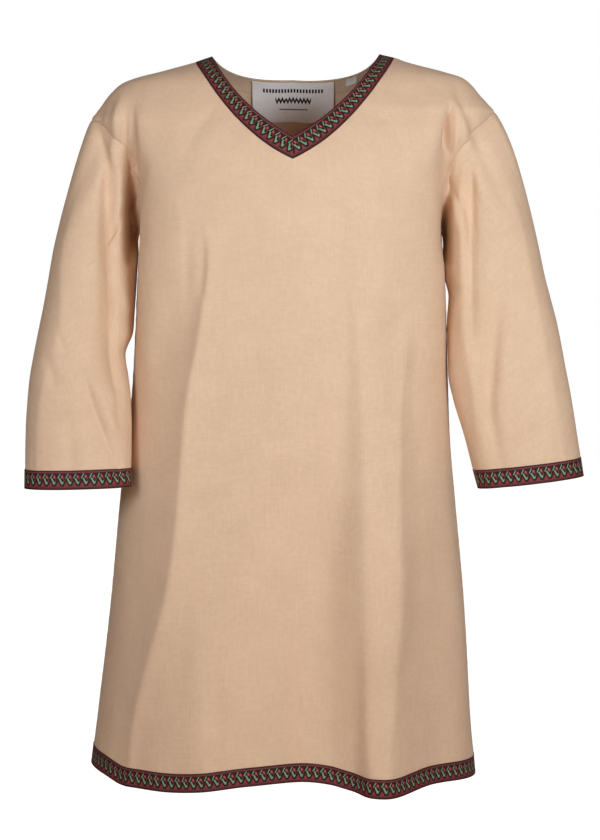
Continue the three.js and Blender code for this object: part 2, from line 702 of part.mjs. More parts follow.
// A flat tag inside the back of the neck, hanging from the neck edge.
function tag({ x: middle = 0, width, height, wall: thickness }) {
  const across = 10;
  const down = 7;
  const columns = range(0, across).map((i) => {
    const x = middle + width * (i / across - 0.5);
    const side = sideOf(x);
    const near = range(0, 200).map((k) => bezier(NECK.back[side].edge, k / 200));
    const edge = near.find(([edgeX]) => edgeX <= Math.abs(x)) ?? near[near.length - 1];
    const spots = [spotOn("back", x, edge[1] - TAG_DROP)];
    for (let j = 1; j <= down; j++) {
      // The tag's length is measured along the cloth.
      const last = spots[j - 1];
      const trial = spotOn("back", x, last.point.z - 1);
      const step = height / down / trial.point.distanceTo(last.point);
      spots.push(spotOn("back", x, last.point.z - step));
    }
    return spots;
  });
  const rows = range(0, down).map((j) => columns.map((column) => column[j]));
  const sheet = sheetOf(rows.map((row) => row.map((spot) => spot.point)));
  const normals = rows.flat().map((spot) => spot.normal);
  return wall(sheet, normals, -OUT - thickness, -OUT);
}

// ---------------------------------------------------------------- materials and the tunic
const sand = new THREE.MeshStandardMaterial({ color: 0xe2bf9c, roughness: 0.92, metalness: 0 });
const braidRed = new THREE.MeshStandardMaterial({ color: 0x5e1f2a, roughness: 0.75, metalness: 0 });
const labelWhite = new THREE.MeshStandardMaterial({ color: 0xe6dedb, roughness: 0.6, metalness: 0 });

const tunic = new THREE.Group();
function add(name, geometry, material) {
  const mesh = new THREE.Mesh(geometry, material);
  mesh.name = name;
  tunic.add(mesh);
}

const skin = [-CLOTH / 2, CLOTH / 2];
add("front_panel", wall(panels.front, panelNormals.front, ...skin), sand);
add("back_panel", wall(panels.back, panelNormals.back, ...skin), sand);
add("left_sleeve", wall(sleeves.left, sleeveNormals.left, ...skin), sand);
add("right_sleeve", wall(sleeves.right, sleeveNormals.right, ...skin), sand);
add("neck_braid_long", longNeckBraid(), braidRed);
add("neck_braid_short", shortNeckBraid(), braidRed);
add("hem_braid", hemBraid(), braidRed);
add("cuff_braid_left", cuffBraid("left"), braidRed);
add("cuff_braid_right", cuffBraid("right"), braidRed);
add("neck_label", tag(LABEL), labelWhite);
add("size_tab", tag(SIZE_TAB), labelWhite);

export default tunic;
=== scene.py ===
import math

import bpy
import numpy as np
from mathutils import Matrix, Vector
from mathutils.geometry import delaunay_2d_cdt


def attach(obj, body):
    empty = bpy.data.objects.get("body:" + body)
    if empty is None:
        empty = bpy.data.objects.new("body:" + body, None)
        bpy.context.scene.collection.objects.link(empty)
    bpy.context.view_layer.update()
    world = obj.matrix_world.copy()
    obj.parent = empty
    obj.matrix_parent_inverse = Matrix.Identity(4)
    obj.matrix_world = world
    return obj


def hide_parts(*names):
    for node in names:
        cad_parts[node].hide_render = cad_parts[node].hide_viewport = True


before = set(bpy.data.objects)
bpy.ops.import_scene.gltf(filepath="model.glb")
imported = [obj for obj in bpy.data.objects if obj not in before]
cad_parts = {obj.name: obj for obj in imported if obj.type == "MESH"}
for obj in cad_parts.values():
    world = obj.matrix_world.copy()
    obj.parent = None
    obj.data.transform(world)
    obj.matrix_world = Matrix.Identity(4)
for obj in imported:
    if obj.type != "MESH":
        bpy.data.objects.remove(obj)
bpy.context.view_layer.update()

MM = 0.001
CLOTH = 1.1            # thickness of the cotton
SEAM_GAP = 0.03        # so narrow that no light shows through
BRAID_WIDTH = 22.0
BRAID_LIFT = 0.12      # between the cotton and what is sewn on it
BRAID_WALL = 0.65
TAG_LIFT = 0.25
TAG_WALL = 0.35
ROUND = 2.3            # exponent of the cross sections: 2 is an ellipse
UNDERARM = -208.0
NECK_SHARE = 0.52      # the part of the half width that lies under the neck
COLUMN_POWER = 1.35    # how the columns crowd towards the shoulder's tip
FOLD_FADE = 28         # the largest folds fade out this far from the side seams
EDGE_ROUNDING = 3      # of a sharp pleat, in square millimetres
AFAR = 99              # a distance at which a seam has no effect
SIDES = (-1, 1)        # the viewer's left and right
FACES = ("front", "back")

# ------------------------------------------------------------------ the worn form
# Sections of the body: height, half widths left and right, depths front and back.
BODY = np.array([
    (-856, 243, 218, 146, 134),
    (-770, 231.5, 210, 144, 132),
    (-650, 217, 204, 139, 128),
    (-530, 206, 193.5, 132, 122),
    (-455, 198, 186.5, 128, 119),
    (-392, 191, 184.5, 125, 117),
    (-300, 187, 182, 121, 113),
    (-208, 183, 178, 117, 111),
    (-172, 185, 181, 114, 111),
    (-141, 193, 190, 109, 110),
    (-120, 204, 203, 104, 108),
    (-102, 216, 218, 97, 105),
    (-89, 227, 229, 91, 102),
    (-76, 240, 236, 84, 98),
    (-66, 234, 240, 79, 94),
    (-56, 226, 232, 73, 90),
    (-48, 220, 224, 68, 86),
    (-34, 205, 212, 59, 78),
    (-26, 187, 202, 52, 71),
    (-19, 158, 181, 45, 62),
    (-12, 132, 153, 37, 51),
    (-7, 116, 134, 29, 39),
    (-2, 101, 121, 18, 22),
    (-0.5, 96, 112, 14, 17),
    (2, 88, 103, 8, 9),
], float)

# The armhole seams seen from the front, underarm to shoulder tip: distance out, height.
ARMHOLES = {
    -1: [(183, -208), (181.5, -190), (181, -170), (183.5, -140),
         (193, -119), (205, -101), (221, -87), (240, -76)],
    1: [(178, -208), (175.5, -188), (175.5, -166), (183, -135),
        (192.5, -117), (204, -103), (219, -87), (240, -66)],
}

# The neck seen from the front, as quadratic curves from the shoulder to the middle:
# its edge, and the line down to which the braid covers the cotton.
NECK = {
    ("front", -1): {"edge": [(96, -0.5), (66, -63), (0, -101.5)],
                    "braid": [(116, -7), (65.5, -98), (0, -128)]},
    ("front", 1): {"edge": [(103, 2), (67, -63), (0, -101.5)],
                   "braid": [(121, -2), (68, -96), (0, -128)]},
    ("back", -1): {"edge": [(96, -0.5), (77, -25), (0, -22.5)],
                   "braid": [(116, -7), (92, -40), (0, -39)]},
    ("back", 1): {"edge": [(103, 2), (84, -27), (0, -22.5)],
                  "braid": [(121, -2), (99, -41), (0, -39)]},
}

# How the hem hangs: x, height.
HEMS = {
    "front": [(-243, -843), (-224, -848), (-195, -857), (-150, -858), (-109, -855.5), (-54, -849),
              (1, -847), (45, -851), (84, -859), (111, -861), (167, -855), (218, -856)],
    "back": [(-243, -843), (-120, -852), (0, -848), (110, -853), (218, -856)],
}

# Sleeve sections below the underarm: height, how far out the sleeve reaches, how far in at the
# front and at the back, and its front and back limits.
SLEEVES = {
    -1: {"tilt": -0.02, "fullness": 0.4, "rows": np.array([
        (-236, 284.5, 197, 185.5, -64, 44),
        (-270, 290.5, 194, 187, -70, 38),
        (-300, 296, 191, 188.7, -76, 30),
        (-326, 301, 198, 190, -82, 21),
        (-355, 306, 202, 199, -88, 11),
        (-380, 309.5, 198, 195.5, -94, 3),
        (-406, 311, 190, 192.5, -101, -6),
        (-440, 312, 187, 191.5, -108, -17),
        (-508, 312, 188, 193, -122, -36),
    ], float)},
    1: {"tilt": 0.12, "fullness": 0.65, "rows": np.array([
        (-236, 293.5, 185, 180.8, -62, 44),
        (-262, 298.5, 187, 181.8, -66, 40),
        (-284, 303.5, 190, 186.5, -71, 34),
        (-316, 311, 188, 184.4, -77, 26),
        (-372, 321, 183, 185.8, -84, 14),
        (-400, 326.5, 190, 191, -86, 9),
        (-440, 333, 201, 203, -88, 3),
        (-504, 343, 219.5, 220, -90, -4),
    ], float)},
}

# The largest folds: from (x0, z0) to (x1, z1), half width, height at the start and at the end.
FOLDS = {
    "front": [
        (108, -540, 113, -860, 24, 2, 14),      # right hem ridge
        (84, -560, 76, -860, 22, 0, -7),
        (166, -500, 174, -860, 32, 0, -12),
        (20, -480, 6, -860, 52, 0, -15),
        (-105, -480, -112, -860, 44, 1, 7),     # left hem ridge
        (-172, -560, -190, -860, 26, 0, -7),
        (-200, -62, -184, -150, 10, 0, -12),    # armpit valleys and shoulder ridges
        (-205, -52, -203, -150, 9, 1, 4),
        (191, -62, 184, -138, 10, 0, -11),
        (200, -48, 201, -150, 10, 1, 3),
        (-226, -170, -223, -360, 13, -3, -4),   # sleeves
        (-246, -395, -212, -490, 9, -2, -4),
        (216, -170, 226, -380, 12, -3, -4),
        (262, -260, 272, -400, 14, -2, -3),
    ],
    "back": [
        (-6, -420, -10, -860, 40, 0, 14),
        (-78, -460, -88, -860, 32, 0, -13),
        (70, -460, 76, -860, 32, 0, -13),
        (-148, -420, -158, -860, 34, 0, 9),
        (138, -420, 146, -860, 34, 0, 9),
        (-200, -72, -188, -145, 12, 0, -8),
        (198, -72, 186, -145, 12, 0, -8),
        (-240, -180, -250, -420, 14, -3, -4),
        (240, -180, 262, -420, 14, -3, -4),
    ],
}

# Pleats and fold edges, front and back: points down a line seen from the front, each with
# x, z, height and the half widths to its left and right. A sharp one has a pressed edge.
PLEATS = {
    "front": [
        ("sharp", [(-98, -200, 0.4, 8, 8), (-96, -244, 4, 8, 10), (-103, -324, 10, 17, 13),
            (-116, -405, 14, 25, 17), (-123, -486, 13.5, 28, 19), (-130, -566, 12.5, 28, 20),
            (-141, -636, 11.5, 28, 20), (-160, -705, 10, 26, 20), (-173, -751, 8, 24, 18),
            (-184, -800, 7, 20, 18), (-190, -870, 6, 18, 18)]),
        ("sharp", [(-128, -172, 0, 8, 8), (-127, -192, 1.6, 8, 8), (-125, -244, 2.6, 7, 8),
            (-128, -300, 1.3, 8, 8), (-133, -335, 0, 8, 8)]),
        ("soft", [(66, -225, 0.3, 8, 20), (70, -260, 1.5, 8, 30), (75, -324, 6.5, 10, 42),
            (79, -405, 11, 13, 50), (83, -486, 17, 18, 50), (84, -566, 20, 21, 50), (86, -636, 20, 27, 42),
            (88, -705, 18, 28, 25), (89, -750, 16, 27, 16), (91, -800, 14, 26, 14),
            (94, -870, 12, 26, 14)]),
        ("soft", [(26, -470, 0, 30, 20), (33, -566, -7, 40, 25), (36, -636, -10, 45, 29),
            (38, -705, -13, 48, 34), (39, -751, -15, 48, 36), (41, -800, -15, 46, 37),
            (43, -870, -13, 45, 37)]),
        ("sharp", [(124, -300, 0, 8, 8), (130, -330, 2, 8, 10), (121, -405, 4, 14, 12),
            (116, -486, 6, 18, 16), (114, -566, 8, 20, 18), (116, -636, 8, 20, 20),
            (115, -705, 7.5, 16, 20), (114, -751, 7, 12, 18), (110, -800, 6, 10, 16),
            (107, -870, 6, 10, 16)]),
        # the sides of the body, fuller towards the seams
        ("soft", [(-160, -120, 0, 12, 44), (-163, -155, 7, 11, 48), (-166, -200, 12, 10, 50),
            (-167, -244, 12, 10, 46), (-169, -324, 8, 11, 20), (-174, -405, 3, 11, 18),
            (-186, -486, 2.5, 11, 18), (-196, -566, 2.5, 11, 18), (-206, -650, 2, 11, 18),
            (-217, -750, 1.5, 11, 18), (-228, -870, 1, 11, 18)]),
        ("soft", [(166, -140, 0, 32, 10), (168, -200, 5, 32, 9), (169, -324, 4.5, 26, 10),
            (170, -405, 4, 22, 11), (174, -486, 4, 20, 11), (181, -566, 4, 20, 11), (190, -650, 4, 20, 11),
            (200, -750, 3.5, 20, 11), (207, -870, 2.5, 20, 11)]),
        # the sleeves
        ("soft", [(-222, -120, -1.5, 6, 6), (-220, -140, -5, 6, 8), (-217, -184, -13, 9, 11),
            (-212, -243, -15, 11, 13), (-211, -324, -12, 11, 12), (-209, -380, -5, 9, 9),
            (-208, -400, 0, 7, 7)]),
        ("soft", [(-209, -270, 0, 4, 4), (-208, -300, -3, 4, 4), (-208, -340, -3, 4, 4),
            (-205, -400, -4, 5, 5), (-202, -440, 0, 5, 5)]),
        ("soft", [(-205, -120, 0, 6, 6), (-204, -150, 2.5, 6, 6), (-204, -300, 3, 6, 6),
            (-207, -420, 1.5, 6, 6), (-207, -450, 0, 6, 6)]),
        ("sharp", [(-240, -128, 0, 8, 8), (-258, -184, 2.2, 10, 12), (-269, -243, 3.2, 12, 14),
            (-270, -324, 3.2, 13, 14), (-284, -370, 2, 10, 12), (-292, -407, 2.4, 9, 12),
            (-296, -480, 1, 9, 12)]),
        ("soft", [(-244, -374, 0, 5, 5), (-240, -386, -4, 5, 5), (-231, -414, -5, 5, 5),
            (-218, -447, -5, 5, 5), (-205, -480, -4, 5, 5), (-200, -496, -2, 5, 5)]),
        ("soft", [(-226, -388, 0, 5, 5), (-219, -410, 2.6, 6, 5), (-208, -440, 2.2, 6, 5),
            (-200, -462, 0, 6, 5)]),
        ("soft", [(200, -128, 0, 6, 6), (200, -150, 2.5, 6, 6), (200, -243, 3, 6, 6),
            (201, -324, 1.8, 7, 6), (214, -400, 2.4, 8, 7), (226, -470, 0, 8, 7)]),
        ("soft", [(209, -110, 0, 6, 6), (209, -140, -4.5, 5, 6), (209, -184, -6, 6, 7),
            (208, -243, -5, 6, 7), (209, -324, -3, 7, 8), (212, -360, 0, 7, 8)]),
        ("soft", [(240, -130, 0, 8, 8), (242, -184, -1.6, 9, 9), (243, -243, -2.6, 10, 10),
            (237, -325, -5.5, 10, 10), (228, -407, -8, 10, 10), (238, -470, -4, 10, 10),
            (250, -510, -1.5, 9, 9)]),
        ("sharp", [(250, -140, 0, 10, 8), (263, -184, 2.2, 12, 9), (275, -243, 2.8, 13, 10),
            (290, -325, 2.8, 13, 11), (305, -407, 2.2, 12, 10), (318, -480, 1, 12, 9)]),
        # from the shoulders into the armpits
        ("sharp", [(186, -56, 0, 3, 2), (185.5, -72, -8, 3.2, 2), (185, -96, -14, 3.2, 1.8),
            (184.6, -112, -10, 3.4, 2), (184.4, -122, -2, 4, 3), (184.2, -128, 0, 4, 3)]),
        ("soft", [(180, -60, 0, 9, 6), (180, -90, -2.6, 10, 6), (179, -125, -3, 10, 6),
            (177, -160, 0, 10, 6)]),
        ("soft", [(190, -60, 0, 4, 4), (190.5, -85, 2.4, 4, 4), (190.5, -130, 2.4, 4, 4),
            (190, -160, 0, 4, 4)]),
        ("soft", [(190, -36, 0, 6, 7), (199, -60, -2, 6, 7), (210, -85, -3.2, 6, 7),
            (218, -102, -3.2, 6, 7), (232, -135, -1.8, 7, 8), (240, -160, 0, 7, 8)]),
        ("soft", [(184, -44, 0, 6, 6), (198, -80, 1.8, 6, 6), (206, -106, 2, 6, 6),
            (216, -136, 0, 6, 6)]),
        ("soft", [(-189, -54, 0, 5, 5), (-188, -80, -3.4, 5, 5), (-187, -105, -3.8, 5, 5),
            (-188, -135, -4, 6, 6), (-188, -160, 0, 6, 6)]),
        ("soft", [(-200, -46, 0, 4, 4), (-204, -62, 2.5, 5, 5), (-208, -84, 3.5, 6, 6),
            (-209, -104, 3.5, 7, 7), (-209, -128, 2, 8, 8), (-209, -150, 0, 8, 8)]),
        ("soft", [(-194, -56, 0, 3, 3), (-196, -80, -2.2, 3, 3), (-197, -104, -2.4, 3, 3),
            (-197, -130, -1.6, 3, 3), (-197, -146, 0, 3, 3)]),
        ("soft", [(-221, -56, 0, 5, 5), (-227, -72, -2.6, 5, 5), (-230, -86, -2.6, 4, 4),
            (-222, -112, -3, 4, 4), (-215, -136, -2.4, 4, 4), (-211, -152, 0, 4, 4)]),
    ],
    "back": [
        ("sharp", [(-92, -260, 0, 12, 12), (-104, -420, 4, 22, 18), (-120, -600, 6, 26, 20),
            (-140, -870, 5, 22, 20)]),
        ("sharp", [(96, -280, 0, 12, 12), (108, -430, 4, 18, 22), (118, -600, 6, 20, 26),
            (134, -870, 5, 20, 22)]),
        ("soft", [(-40, -300, 0, 14, 30), (-36, -450, 4, 18, 36), (-30, -620, 8, 20, 36),
            (-30, -870, 6, 18, 26)]),
        ("soft", [(44, -430, 0, 16, 16), (48, -560, -4, 18, 18), (44, -700, -5, 18, 18),
            (44, -870, -4, 18, 18)]),
        ("sharp", [(-262, -150, 0, 8, 10), (-272, -243, 2.6, 11, 13), (-276, -330, 2.8, 11, 13),
            (-294, -430, 1.6, 9, 11), (-296, -490, 0, 9, 11)]),
        ("sharp", [(262, -150, 0, 10, 8), (278, -243, 2.6, 13, 11), (292, -330, 2.8, 13, 11),
            (312, -430, 1.6, 11, 9), (318, -490, 0, 11, 9)]),
        ("soft", [(-226, -150, 0, 8, 8), (-230, -230, -4, 8, 8), (-226, -320, -4, 9, 9),
            (-214, -400, 0, 8, 8)]),
        ("soft", [(224, -150, 0, 8, 8), (230, -230, -4, 8, 8), (232, -320, -4, 9, 9),
            (226, -400, 0, 8, 8)]),
    ],
}


# Slighter creases: half width, height and the line, each fading out at its ends.
CREASES = {
    "front": [
        (3, -1.2, [(-213, -690), (-198, -692)]),
        (3, -1.2, [(-204, -600), (-186, -597)]),
        (3, -1.2, [(-223, -778), (-211, -775)]),
        (3, -1.0, [(192, -788), (204, -790)]),
        (3.5, -0.8, [(124, -702), (156, -698), (190, -703)]),
        (9, -1.8, [(-88, -690), (-86, -770), (-88, -850)]),
        (14, 1.6, [(-108, -640), (-112, -850)]),
        (18, -1.6, [(22, -560), (24, -850)]),
        (12, 1.4, [(152, -420), (156, -560), (156, -700)]),
        (6, -0.9, [(143, -330), (134, -420)]),
        (26, -1.2, [(-60, -190), (-40, -330), (-46, -470)]),
        (30, 0.9, [(20, -200), (24, -420)]),
        (7, -1.3, [(-86, -62), (-110, -92), (-128, -128)]),
        (8, -1.1, [(92, -60), (118, -96), (134, -138)]),
        (2.6, -2.2, [(-274, -326), (-268, -340), (-263, -354)]),
        (6, -2.4, [(-287, -352), (-281, -372), (-276, -392)]),
        (8, 1.4, [(-266, -372), (-250, -396)]),
        (7, -1.6, [(-262, -420), (-256, -470), (-254, -505)]),
        (9, 1.4, [(-240, -440), (-236, -505)]),
        (5, -1.2, [(-190, -300), (-196, -330)]),
        (8, -2.6, [(-124, -205), (-122, -250), (-126, -300)]),
        (6, -2.4, [(-103, -215), (-101, -250), (-104, -290)]),
        (16, -1.6, [(60, -250), (66, -330), (66, -420)]),
        (8, -2.0, [(290, -300), (276, -330), (268, -372)]),
        (8, -1.8, [(302, -352), (288, -384), (282, -420)]),
        (9, 1.3, [(262, -380), (270, -440), (276, -505)]),
        (8, 1.6, [(296, -430), (302, -505)]),
        (5, -1.2, [(186, -262), (196, -284)]),
    ],
    "back": [
        (9, -2.4, [(-150, -60), (-168, -120), (-178, -170)]),
        (9, -2.4, [(150, -60), (166, -118), (173, -170)]),
        (12, 1.8, [(-120, -70), (-150, -150), (-165, -230)]),
        (12, 1.8, [(122, -72), (148, -150), (160, -230)]),
        (20, -1.8, [(-8, -120), (-12, -260), (-6, -400)]),
        (7, -1.1, [(-60, -215), (60, -225)]),
        (9, -0.9, [(-90, -330), (20, -342)]),
        (11, -2.0, [(-172, -560), (-176, -700), (-182, -850)]),
        (11, -2.0, [(166, -560), (170, -700), (172, -850)]),
        (3, -1.0, [(-204, -560), (-186, -563)]),
        (3, -1.0, [(190, -640), (203, -643)]),
        (7, -2.6, [(-290, -330), (-262, -352), (-232, -350)]),
        (7, -2.4, [(-292, -368), (-262, -386), (-230, -378)]),
        (7, 1.8, [(-288, -350), (-258, -368), (-230, -364)]),
        (10, 1.6, [(-262, -410), (-256, -500)]),
        (9, -2.0, [(-226, -410), (-216, -500)]),
        (7, -2.6, [(300, -332), (270, -352), (238, -346)]),
        (7, -2.4, [(304, -368), (272, -388), (240, -380)]),
        (7, 1.8, [(300, -350), (270, -370), (240, -364)]),
        (10, 1.6, [(282, -410), (292, -500)]),
        (9, -2.0, [(244, -410), (254, -500)]),
    ],
}

# Where the cloth is pinched into the armpits: x and z down the middle, how far back it goes,
# and the half widths to the left and right.
PINCHES = [
    [(-192, -108, 0, 5, 7), (-194, -137, 12, 5, 8), (-194.5, -165, 34, 5, 11),
     (-194.5, -190, 50, 5, 12), (-194, -215, 52, 5, 12), (-193, -250, 0, 5, 10)],
    [(183, -142, 0, 8, 6), (182.5, -158, 9, 8, 6), (182, -176, 28, 8, 5.5),
     (181.5, -196, 46, 8, 5), (181.5, -215, 50, 8, 5), (181.5, -250, 0, 8, 5)],
]


# ------------------------------------------------------------------ small helpers
def lerp(a, b, t):
    return a + (b - a) * t


def smoothstep(v, low, high):
    t = np.clip((v - low) / (high - low), 0, 1)
    return t * t * (3 - 2 * t)


def unit(v):
    return v / np.maximum(np.linalg.norm(v, axis=-1, keepdims=True), 1e-9)


def curve(x, y):
    """A smooth curve through a table that never overshoots it."""
    order = np.argsort(x)
    x, y = np.asarray(x, float)[order], np.asarray(y, float)[order]
    slope = np.diff(y) / np.diff(x)
    tangent = np.concatenate([slope[:1], np.zeros(len(x) - 2), slope[-1:]])
    before, after = slope[:-1], slope[1:]
    same = before * after > 0
    tangent[1:-1][same] = 2 * before[same] * after[same] / (before + after)[same]

    def at(v):
        v = np.clip(v, x[0], x[-1])
        i = np.clip(np.searchsorted(x, v) - 1, 0, len(x) - 2)
        w = x[i + 1] - x[i]
        t = (v - x[i]) / w
        return ((1 + 2 * t) * (1 - t) ** 2 * y[i] + t * (1 - t) ** 2 * w * tangent[i]
                + t * t * (3 - 2 * t) * y[i + 1] + t * t * (t - 1) * w * tangent[i + 1])
    return at


def bezier(points, t):
    a, b, c = (np.array(p, float) for p in points)
    t = np.asarray(t, float)[..., None]
    return (1 - t) ** 2 * a + 2 * t * (1 - t) * b + t * t * c


def along(points):
    """A polyline as a function of the share of its length."""
    points = np.asarray(points, float)
    length = np.concatenate([[0], np.cumsum(np.linalg.norm(np.diff(points, axis=0), axis=1))])
    return lambda t: np.stack([np.interp(np.asarray(t) * length[-1], length, points[:, k])
                               for k in range(points.shape[1])], axis=-1)


def through(points, steps=40):
    """A dense centripetal curve through points."""
    p = np.array(points, float)
    p = np.vstack([2 * p[0] - p[1], p, 2 * p[-1] - p[-2]])
    out = []
    for a, b, c, d in zip(p[:-3], p[1:-2], p[2:-1], p[3:]):
        d0, d1, d2 = (np.linalg.norm(v) ** 0.5 for v in (b - a, c - b, d - c))
        m1 = ((b - a) / d0 - (c - a) / (d0 + d1) + (c - b) / d1) * d1
        m2 = ((c - b) / d1 - (d - b) / (d1 + d2) + (d - c) / d2) * d1
        t = np.linspace(0, 1, steps, endpoint=False)[:, None]
        out.append(b + m1 * t + (3 * (c - b) - 2 * m1 - m2) * t**2 + (2 * (b - c) + m1 + m2) * t**3)
    return np.vstack(out + [p[-2:-1]])


def bow(v, power):
    return np.sign(v) * np.abs(v) ** power


# ------------------------------------------------------------------ surfaces
HALF = {-1: curve(BODY[:, 0], BODY[:, 1]), 1: curve(BODY[:, 0], BODY[:, 2])}
DEPTH = {"front": curve(BODY[:, 0], BODY[:, 3]), "back": curve(BODY[:, 0], BODY[:, 4])}
HEM = {face: curve(*np.array(HEMS[face]).T) for face in HEMS}
FACING = {"front": -1, "back": 1}


def half_width(sign, z):
    return np.where(sign < 0, HALF[-1](z), HALF[1](z))


def fold_height(face, x, z, out):
    total = np.zeros(np.broadcast(x, z).shape)
    for x0, z0, x1, z1, half, h0, h1 in FOLDS[face]:
        dx, dz = x1 - x0, z1 - z0
        s = np.clip(((x - x0) * dx + (z - z0) * dz) / (dx * dx + dz * dz), 0, 1)
        away = (x - x0 - s * dx) ** 2 + (z - z0 - s * dz) ** 2
        total += lerp(h0, h1, s) * np.exp(-away / half**2)
    return smoothstep(out, 0, FOLD_FADE) * total


def body_point(face, x, z):
    share = np.minimum(1, np.abs(x) / half_width(np.sign(x), z))
    out = DEPTH[face](z) * (1 - share**ROUND) ** (1 / ROUND)
    return np.stack([x, FACING[face] * (out + fold_height(face, x, z, out)), z], axis=-1)


def shoulder_ridge(side):
    neck_x, neck_z = NECK["front", side]["braid"][0]
    z = lerp(neck_z, ARMHOLES[side][-1][1], np.linspace(0, 1, 400) ** 1.5)
    x = HALF[side](z)
    x[0] = neck_x
    return along(np.stack([x, z], axis=-1))


def arm_seam(side):
    seam = along(through(ARMHOLES[side]))
    ends = np.array([(HALF[side](z), z) for z in (ARMHOLES[side][0][1], ARMHOLES[side][-1][1])], float)

    def at(t):
        t = np.asarray(t, float)
        p = seam(t)
        inset = 0.5 * np.minimum(1, np.minimum(t, 1 - t) / 0.05)
        p[..., 0] = np.minimum(p[..., 0], HALF[side](p[..., 1]) - inset)
        p[t == 0], p[t == 1] = ends
        return p
    return at


RIDGE = {side: shoulder_ridge(side) for side in SIDES}
ARM_SEAM = {side: arm_seam(side) for side in SIDES}


def even_shares(start, stop, count, near_seam=()):
    """Shares of the half width from start down to stop, evenly spaced round a section."""
    s = start + (stop - start) * np.linspace(0, 1, 6001) ** ROUND
    line = np.stack([CHEST[0] * s, CHEST[1] * np.maximum(0, 1 - s**ROUND) ** (1 / ROUND)], axis=-1)
    length = np.concatenate([[0], np.cumsum(np.linalg.norm(np.diff(line, axis=0), axis=1))])
    near = np.array(near_seam, float)
    begin, skip = (near[-1], 1) if len(near) else (0, 0)
    spots = np.concatenate([near, np.linspace(begin, length[-1], count + 1)[skip:]])
    return np.interp(spots, length, s)


CHEST = (196, 118)                     # half width and depth of the section that spaces the columns
NEAR_SEAM = (0, 0.9, 1.9, 3.2, 5)      # the first columns beside the side seam
SHOULDER_COLUMNS, NECK_COLUMNS = 52, 36
shoulder = even_shares(1, NECK_SHARE, SHOULDER_COLUMNS, NEAR_SEAM)
under_neck = even_shares(NECK_SHARE, 0, NECK_COLUMNS)[1:]
SHOULDER_COUNT = len(shoulder)
half_share = np.concatenate([shoulder, under_neck])
half_end = np.concatenate([1 - ((1 - shoulder) / (1 - NECK_SHARE)) ** (1 / COLUMN_POWER),
                           1 - under_neck / NECK_SHARE])
half_on = np.arange(len(half_share)) < SHOULDER_COUNT
SHARE = np.concatenate([half_share, half_share[-2::-1]])
END = np.concatenate([half_end, half_end[-2::-1]])
ON_SHOULDER = np.concatenate([half_on, half_on[-2::-1]])
SIGN = np.concatenate([-np.ones(len(half_share)), np.ones(len(half_share) - 1)])
MIDDLE = len(half_share) - 1
COLUMNS = len(SHARE)

CLOSE_ROWS = [0, 0.006, 0.013, 0.022, 0.034]      # rows close to a seam, as shares of the way
ARM_T = np.concatenate([CLOSE_ROWS, np.linspace(0.048, 1, 66)])
ARM_ROWS = len(ARM_T)
BRAID_ROWS = 7
SKIRT_ROWS = BRAID_ROWS + 180
TIP_ROW = SKIRT_ROWS + ARM_ROWS - 1
ARM = slice(SKIRT_ROWS, TIP_ROW + 1)


def armhole_rows(share, sign, end, on_shoulder, top):
    """Rows from the underarm to the top of each column, as (x, z)."""
    t = ARM_T[:, None]
    rise = 1 - (1 - t) ** 2
    left, right = ARM_SEAM[-1](ARM_T), ARM_SEAM[1](ARM_T)
    side = np.where((sign < 0)[None, :, None], left[:, None], right[:, None])
    corner = np.where((sign < 0)[:, None], RIDGE[-1](1.0), RIDGE[1](1.0))
    under = half_width(sign, UNDERARM)
    pull = np.where(on_shoulder, end**2, 0)
    x = lerp(share * under, top[:, 0], rise)
    x += pull * (side[..., 0] - lerp(under, corner[:, 0], rise))
    z = lerp(UNDERARM, top[:, 1], rise)
    z = z + pull * (side[..., 1] - lerp(UNDERARM, corner[:, 1], rise))
    return sign * x, z


def panel_grid(face):
    """Rows of points up a panel. The last rows, under the neck braid, use only the neck columns."""
    hem = HEM[face](SIGN * SHARE * half_width(SIGN, BODY[0, 0]))
    steps = np.linspace(0, 1, SKIRT_ROWS - BRAID_ROWS + 2)[1:-1, None]
    z = np.vstack([hem + BRAID_WIDTH * np.linspace(0, 1, BRAID_ROWS)[:, None],
                   lerp(hem + BRAID_WIDTH, UNDERARM, steps)])
    skirt = body_point(face, SIGN * SHARE * half_width(SIGN, z), z)

    top = np.zeros((COLUMNS, 2))
    for side in SIDES:
        here = SIGN == side
        on = here & ON_SHOULDER
        off = here & ~ON_SHOULDER
        top[on] = RIDGE[side](END[on])
        top[off] = bezier(NECK[face, side]["braid"], END[off])
    arm = body_point(face, *armhole_rows(SHARE, SIGN, END, ON_SHOULDER, top))

    # Under the neck braid, with the shoulder ends drawn on to the shoulder's ridge.
    end = np.where(ON_SHOULDER, 0, END)
    lines = {}
    for kind in ("braid", "edge"):
        left, right = (bezier(NECK[face, side][kind], end) for side in SIDES)
        lines[kind] = np.where((SIGN < 0)[:, None], left, right)
    t = np.linspace(0, 1, BRAID_ROWS)[1:, None, None]
    spot = lerp(lines["braid"], lines["edge"], t)
    heights = np.linspace(-12, 2, 400)
    for side in SIDES:
        ends = lerp(*(np.array(NECK[face, side][kind][0], float) for kind in ("braid", "edge")), t[:, 0])
        on_ridge = np.interp(-ends[:, 0], -HALF[side](heights), heights)
        shift = (on_ridge - ends[:, 1])[:, None] * (1 - smoothstep(end, 0, 0.14))
        spot[..., 1] += np.where(SIGN == side, shift, 0)
    neck = body_point(face, SIGN * spot[..., 0], spot[..., 1])
    at_shoulder = ON_SHOULDER | (END == 0)
    neck[:, at_shoulder, 1] = 0
    return np.concatenate([skirt, arm, neck])


